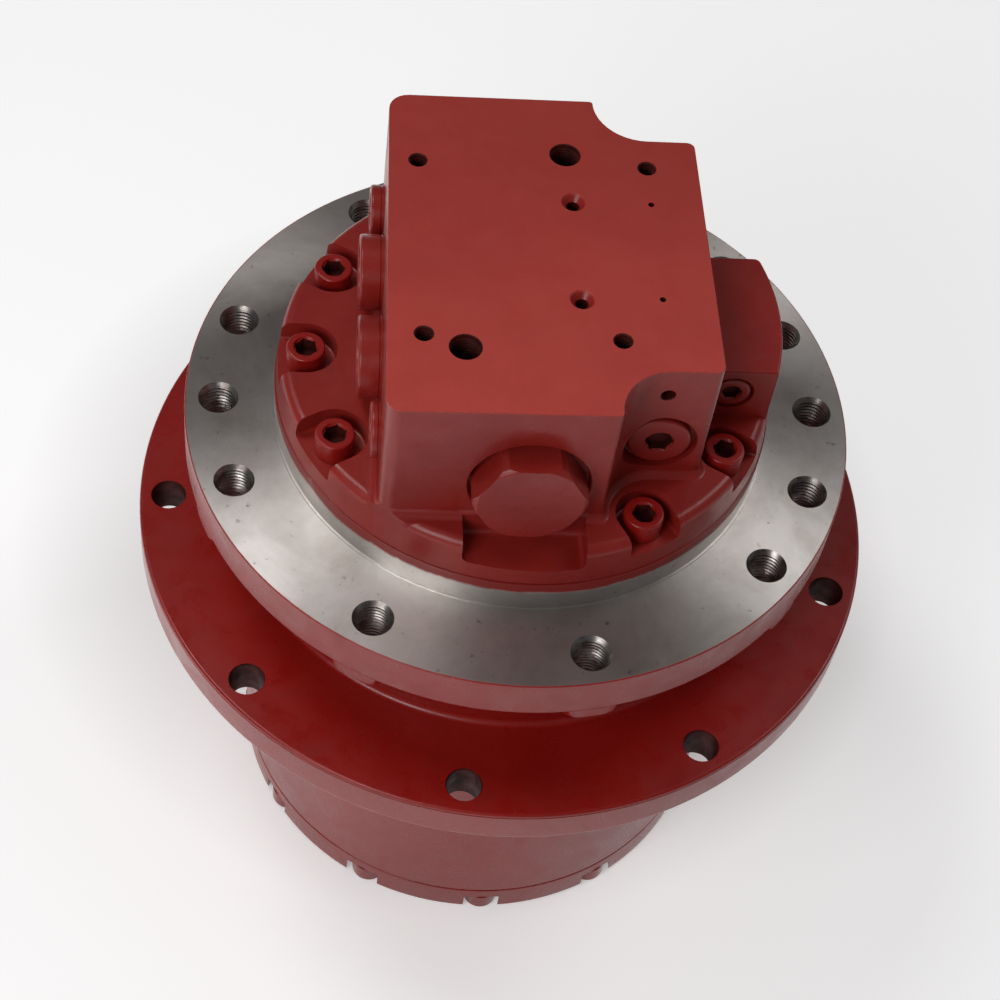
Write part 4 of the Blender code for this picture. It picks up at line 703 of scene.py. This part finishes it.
earPlan = [(m["right"] - 6, m["earFront"])] + circlePoints(0, 0, m["earRadius"], earStart, earEnd, 24)[:-1]
earPlan += circlePoints(cornerX, cornerY, m["earCorner"], earEnd, 90, 6) + [(m["right"] - 6, m["earBack"])]
shaped(motor, extruded(earPlan, baseTop - 6, baseTop + m["earTop"], topRound=1.2), "UNION")
for y, radius, stand in m["bosses"]:
    wall = -m["left"] - 4.0 * (y + half) / (2 * half)
    boss = spun([(0, wall - 8), (radius, wall - 8), (radius, wall + 0.6), (radius - 0.45, wall + 0.9),
                 (radius - 0.45, wall + 1.3), (radius, wall + 1.6), (radius, wall + stand, 1.2),
                 (radius * 0.68, wall + stand, 0.5), (radius * 0.66, wall + stand - 1.5, 0.5),
                 (0, wall + stand - 1.5)], 56)
    shaped(motor, moved(boss, (0, y, portLevel), (-1, 0, 0)), "UNION")
print("motor cover joined")

for x, y in motorScrewPlaces:
    radius = motorScrews["leftPocket"] if x < 0 else motorScrews["rightPocket"]
    outward = math.degrees(math.atan2(y, x))
    plan = circlePoints(x, y, radius, outward + 90, outward + 270, 20)
    reach = polar(40, outward)
    first, last = [(x + reach.x, y + reach.y) for x, y in (plan[0], plan[-1])]
    plan = [first] + plan + [last]
    shaped(motor, extruded(plan, motorScrews["seat"], baseTop + 1.0, lowRound=1.2))
clearances = [moved(drilled(motorScrews["hole"], -2, 13), (x, y, pilotTop)) for x, y in motorScrewPlaces]
shaped(motor, together(clearances))
for side in (-1, 1):
    near, far = side * (half + gap), side * 125
    plan = [(m["wrench"][0], near), (m["wrench"][1], near), (m["wrench"][1], far), (m["wrench"][0], far)]
    shaped(motor, extruded(plan, baseTop - m["wrenchFloor"], baseTop + 1.5, lowRound=m["wrenchRound"]))
floorDepth = half - m["counterboreDepth"]
threadEnd = spoolPlug["reach"] - 1
bore = spun([(0, -half - 2), (m["counterbore"] + 2.5, -half - 2), (m["counterbore"], -half + 0.5),
             (m["counterbore"], -floorDepth, 0.8), (m["spoolThread"], -floorDepth),
             (m["spoolThread"], -threadEnd), (m["spoolBore"], -threadEnd), (m["spoolBore"], threadEnd),
             (m["spoolThread"], threadEnd), (m["spoolThread"], floorDepth), (m["counterbore"], floorDepth, 0.8),
             (m["counterbore"], half - 0.5), (m["counterbore"] + 2.5, half + 2), (0, half + 2)], 72)
shaped(motor, moved(bore, (spoolPlug["x"], 0, portLevel), (0, 1, 0)))


def plugMouth(sizes):
    floor, thread = -sizes["sink"], sizes["thread"] + gap
    end = floor - sizes["length"] - 1
    return spun([(0, end), (thread, end), (thread, floor), (sizes["pocket"], floor, 0.8),
                 (sizes["pocket"], sizes["clear"]), (0, sizes["clear"])], 56)


testPort = {"x": 45.1, "level": baseTop + 49, "radius": 2.6, "mouth": 3.8, "depth": 12}
t = testPort
for side in (-1, 1):
    aim = (0, side, 0)
    shaped(motor, moved(plugMouth(reliefPlug), (reliefPlug["x"], side * m["notchEnd"], portLevel), aim))
    port = spun([(0, -t["depth"]), (t["radius"], -t["depth"]), (t["radius"], -0.4), (t["mouth"], 1),
                 (0, 1)], 32)
    shaped(motor, moved(port, (t["x"], side * m["notchEnd"], t["level"]), aim), lining=2)
place = (selectorPlug["x"], m["earFront"], selectorPlug["level"])
shaped(motor, moved(plugMouth(selectorPlug), place, (0, -1, 0)))
topHoles = {
    "ports": [(11.3, 51.3), (-32.6, -51.7)],
    "tapped": [(-48.0, 45.6), (-48.0, -45.6), (44.1, 45.3), (27.0, -46.7)],
    "sunk": [(13.0, 25.2), (13.0, -26.3)],
    "tiny": [(44.1, 25.1), (44.1, -25.2)],
}
topSizes = {"portDepth": 28, "tapDepth": 16, "tiny": 1.25, "tinyDepth": 8, "sunk": 2.6, "sunkDepth": 18}


def onTop(shape, kind):  # the same cutter at each of the top's holes of one kind
    return [moved(shape.copy(), (x, y, blockTop)) for x, y in topHoles[kind]]


t = topSizes
tools = onTop(threaded(depth=t["portDepth"], **threads["port"]), "ports")
tools += onTop(threaded(depth=t["tapDepth"], **threads["tapped"]), "tapped")
tools += onTop(drilled(t["tiny"], -t["tinyDepth"], 1, 20), "tiny")
shaped(motor, together(tools), lining=2)
sinks = spun([(0, -2.9), (t["sunk"], -2.7), (4.8, -0.2), (6.0, 1), (0, 1)], 40)
shaped(motor, together(onTop(sinks, "sunk")))
shaped(motor, together(onTop(drilled(t["sunk"], -t["sunkDepth"], -2.0), "sunk")), lining=2)
shaped(motor, drilled(m["shaftBore"], motorLow - 1, pilotTop + 6.3, 48))
finished(motor, "frame_side", ["motor_cover"])
print("motor cover made")


# stage, light and camera

stage = {"floorColour": (0.86, 0.86, 0.86), "floorGlow": 0.38, "worldWhite": 1.0, "worldFill": 0.15,
         "shade": (0.0, 0.12), "shadeReach": (0.10, 0.24), "farGlow": 0.6, "farReach": (0.6, 2.6),
         "paintedSheen": (1.0, -0.35), "floorSize": 20, "drop": 0.0005}
lamps = {  # place, size and watts
    "leftBox": ((-1.01, 0.56, 2.19), (0.8, 0.8), 15),
    "rightBox": ((1.41, 0.64, 1.90), (0.8, 0.8), 10),
    "frontBox": ((-0.52, -0.66, 0.80), (0.5, 0.45), 4.0),
}


def addLight(name, place, size, power, target=(0, 0, 0.15)):
    lamp = bpy.data.lights.new(name, "AREA")
    lamp.shape = "RECTANGLE"
    lamp.size, lamp.size_y = size
    lamp.energy = power
    light = bpy.data.objects.new(name, lamp)
    light.location = place
    light.rotation_euler = (Vector(target) - Vector(place)).to_track_quat("-Z", "Y").to_euler()
    bpy.context.scene.collection.objects.link(light)


ground = bmesh.new()
bmesh.ops.create_grid(ground, x_segments=2, y_segments=2, size=stage["floorSize"])
groundPaint = bpy.data.materials.new("paleFloor")
groundPaint.use_nodes = True
nodes, links = groundPaint.node_tree.nodes, groundPaint.node_tree.links
shader = nodes["Principled BSDF"]
shader.inputs["Base Color"].default_value = (*stage["floorColour"], 1)
shader.inputs["Roughness"].default_value = 0.9
glow = nodes.new("ShaderNodeEmission")
rays = nodes.new("ShaderNodeLightPath")
seen = sums(nodes, links, "MAXIMUM", rays.outputs["Is Camera Ray"], rays.outputs["Is Glossy Ray"])
aside = nodes.new("ShaderNodeVectorMath")
aside.operation = "DISTANCE"
where = nodes.new("ShaderNodeTexCoord").outputs["Object"]
links.new(where, aside.inputs[0])
aside.inputs[1].default_value = (*stage["shade"], 0)
lit = ramp(nodes, links, aside.outputs["Value"], *stage["shadeReach"], 0.0, stage["floorGlow"])
split = nodes.new("ShaderNodeSeparateXYZ")
links.new(where, split.inputs[0])
paintedSheen = ramp(nodes, links, split.outputs["X"], -0.4, 0.4, *stage["paintedSheen"])  # painted reflection: the floor glows brighter on the left, in reflections only
paintedSheen = sums(nodes, links, "MULTIPLY", rays.outputs["Is Glossy Ray"], paintedSheen)
lit = sums(nodes, links, "MULTIPLY", lit, sums(nodes, links, "ADD", paintedSheen, 1.0))
lit = sums(nodes, links, "MULTIPLY", seen, lit)
far = ramp(nodes, links, aside.outputs["Value"], *stage["farReach"], 0.0, stage["farGlow"])
far = sums(nodes, links, "MULTIPLY", rays.outputs["Is Camera Ray"], far)
links.new(sums(nodes, links, "ADD", lit, far), glow.inputs["Strength"])
adder = nodes.new("ShaderNodeAddShader")
links.new(shader.outputs[0], adder.inputs[0])
links.new(glow.outputs[0], adder.inputs[1])
links.new(adder.outputs[0], nodes["Material Output"].inputs["Surface"])
floor = placed("floorSheet", ground, [groundPaint])
floor.location.z = -stage["drop"]

world = bpy.data.worlds.new("studio")
bpy.context.scene.world = world
world.use_nodes = True
nodes, links = world.node_tree.nodes, world.node_tree.links
back = nodes["Background"]
back.inputs["Color"].default_value = (1, 1, 1, 1)
rays = nodes.new("ShaderNodeLightPath")
seen = sums(nodes, links, "MAXIMUM", rays.outputs["Is Camera Ray"], 0.0)
links.new(ramp(nodes, links, seen, 0, 1, stage["worldFill"], stage["worldWhite"]), back.inputs["Strength"])

for name, (place, size, power) in lamps.items():
    addLight(name, place, size, power)

view = {"place": (-103.7, -579.2, 705.6 + flangeFace), "target": (-10.5, -50.5, flangeFace), "roll": 9.125,
        "lens": 78.27}
camera = bpy.data.cameras.new("camera")
camera.lens = view["lens"]
camera.sensor_width = 36
camera.clip_start = 0.01
viewer = bpy.data.objects.new("camera", camera)
bpy.context.scene.collection.objects.link(viewer)
bpy.context.scene.camera = viewer
place, target = Vector(view["place"]) * mm, Vector(view["target"]) * mm
forward = (target - place).normalized()
sideways = forward.cross(zAxis).normalized()
upward = sideways.cross(forward)
roll = math.radians(view["roll"])
imageRight = sideways * math.cos(roll) + upward * math.sin(roll)
imageUp = upward * math.cos(roll) - sideways * math.sin(roll)
axes = Matrix((imageRight, imageUp, -forward)).transposed().to_4x4()
viewer.matrix_world = Matrix.Translation(place) @ axes

bpy.context.scene.view_settings.view_transform = "Standard"
print("scene made")
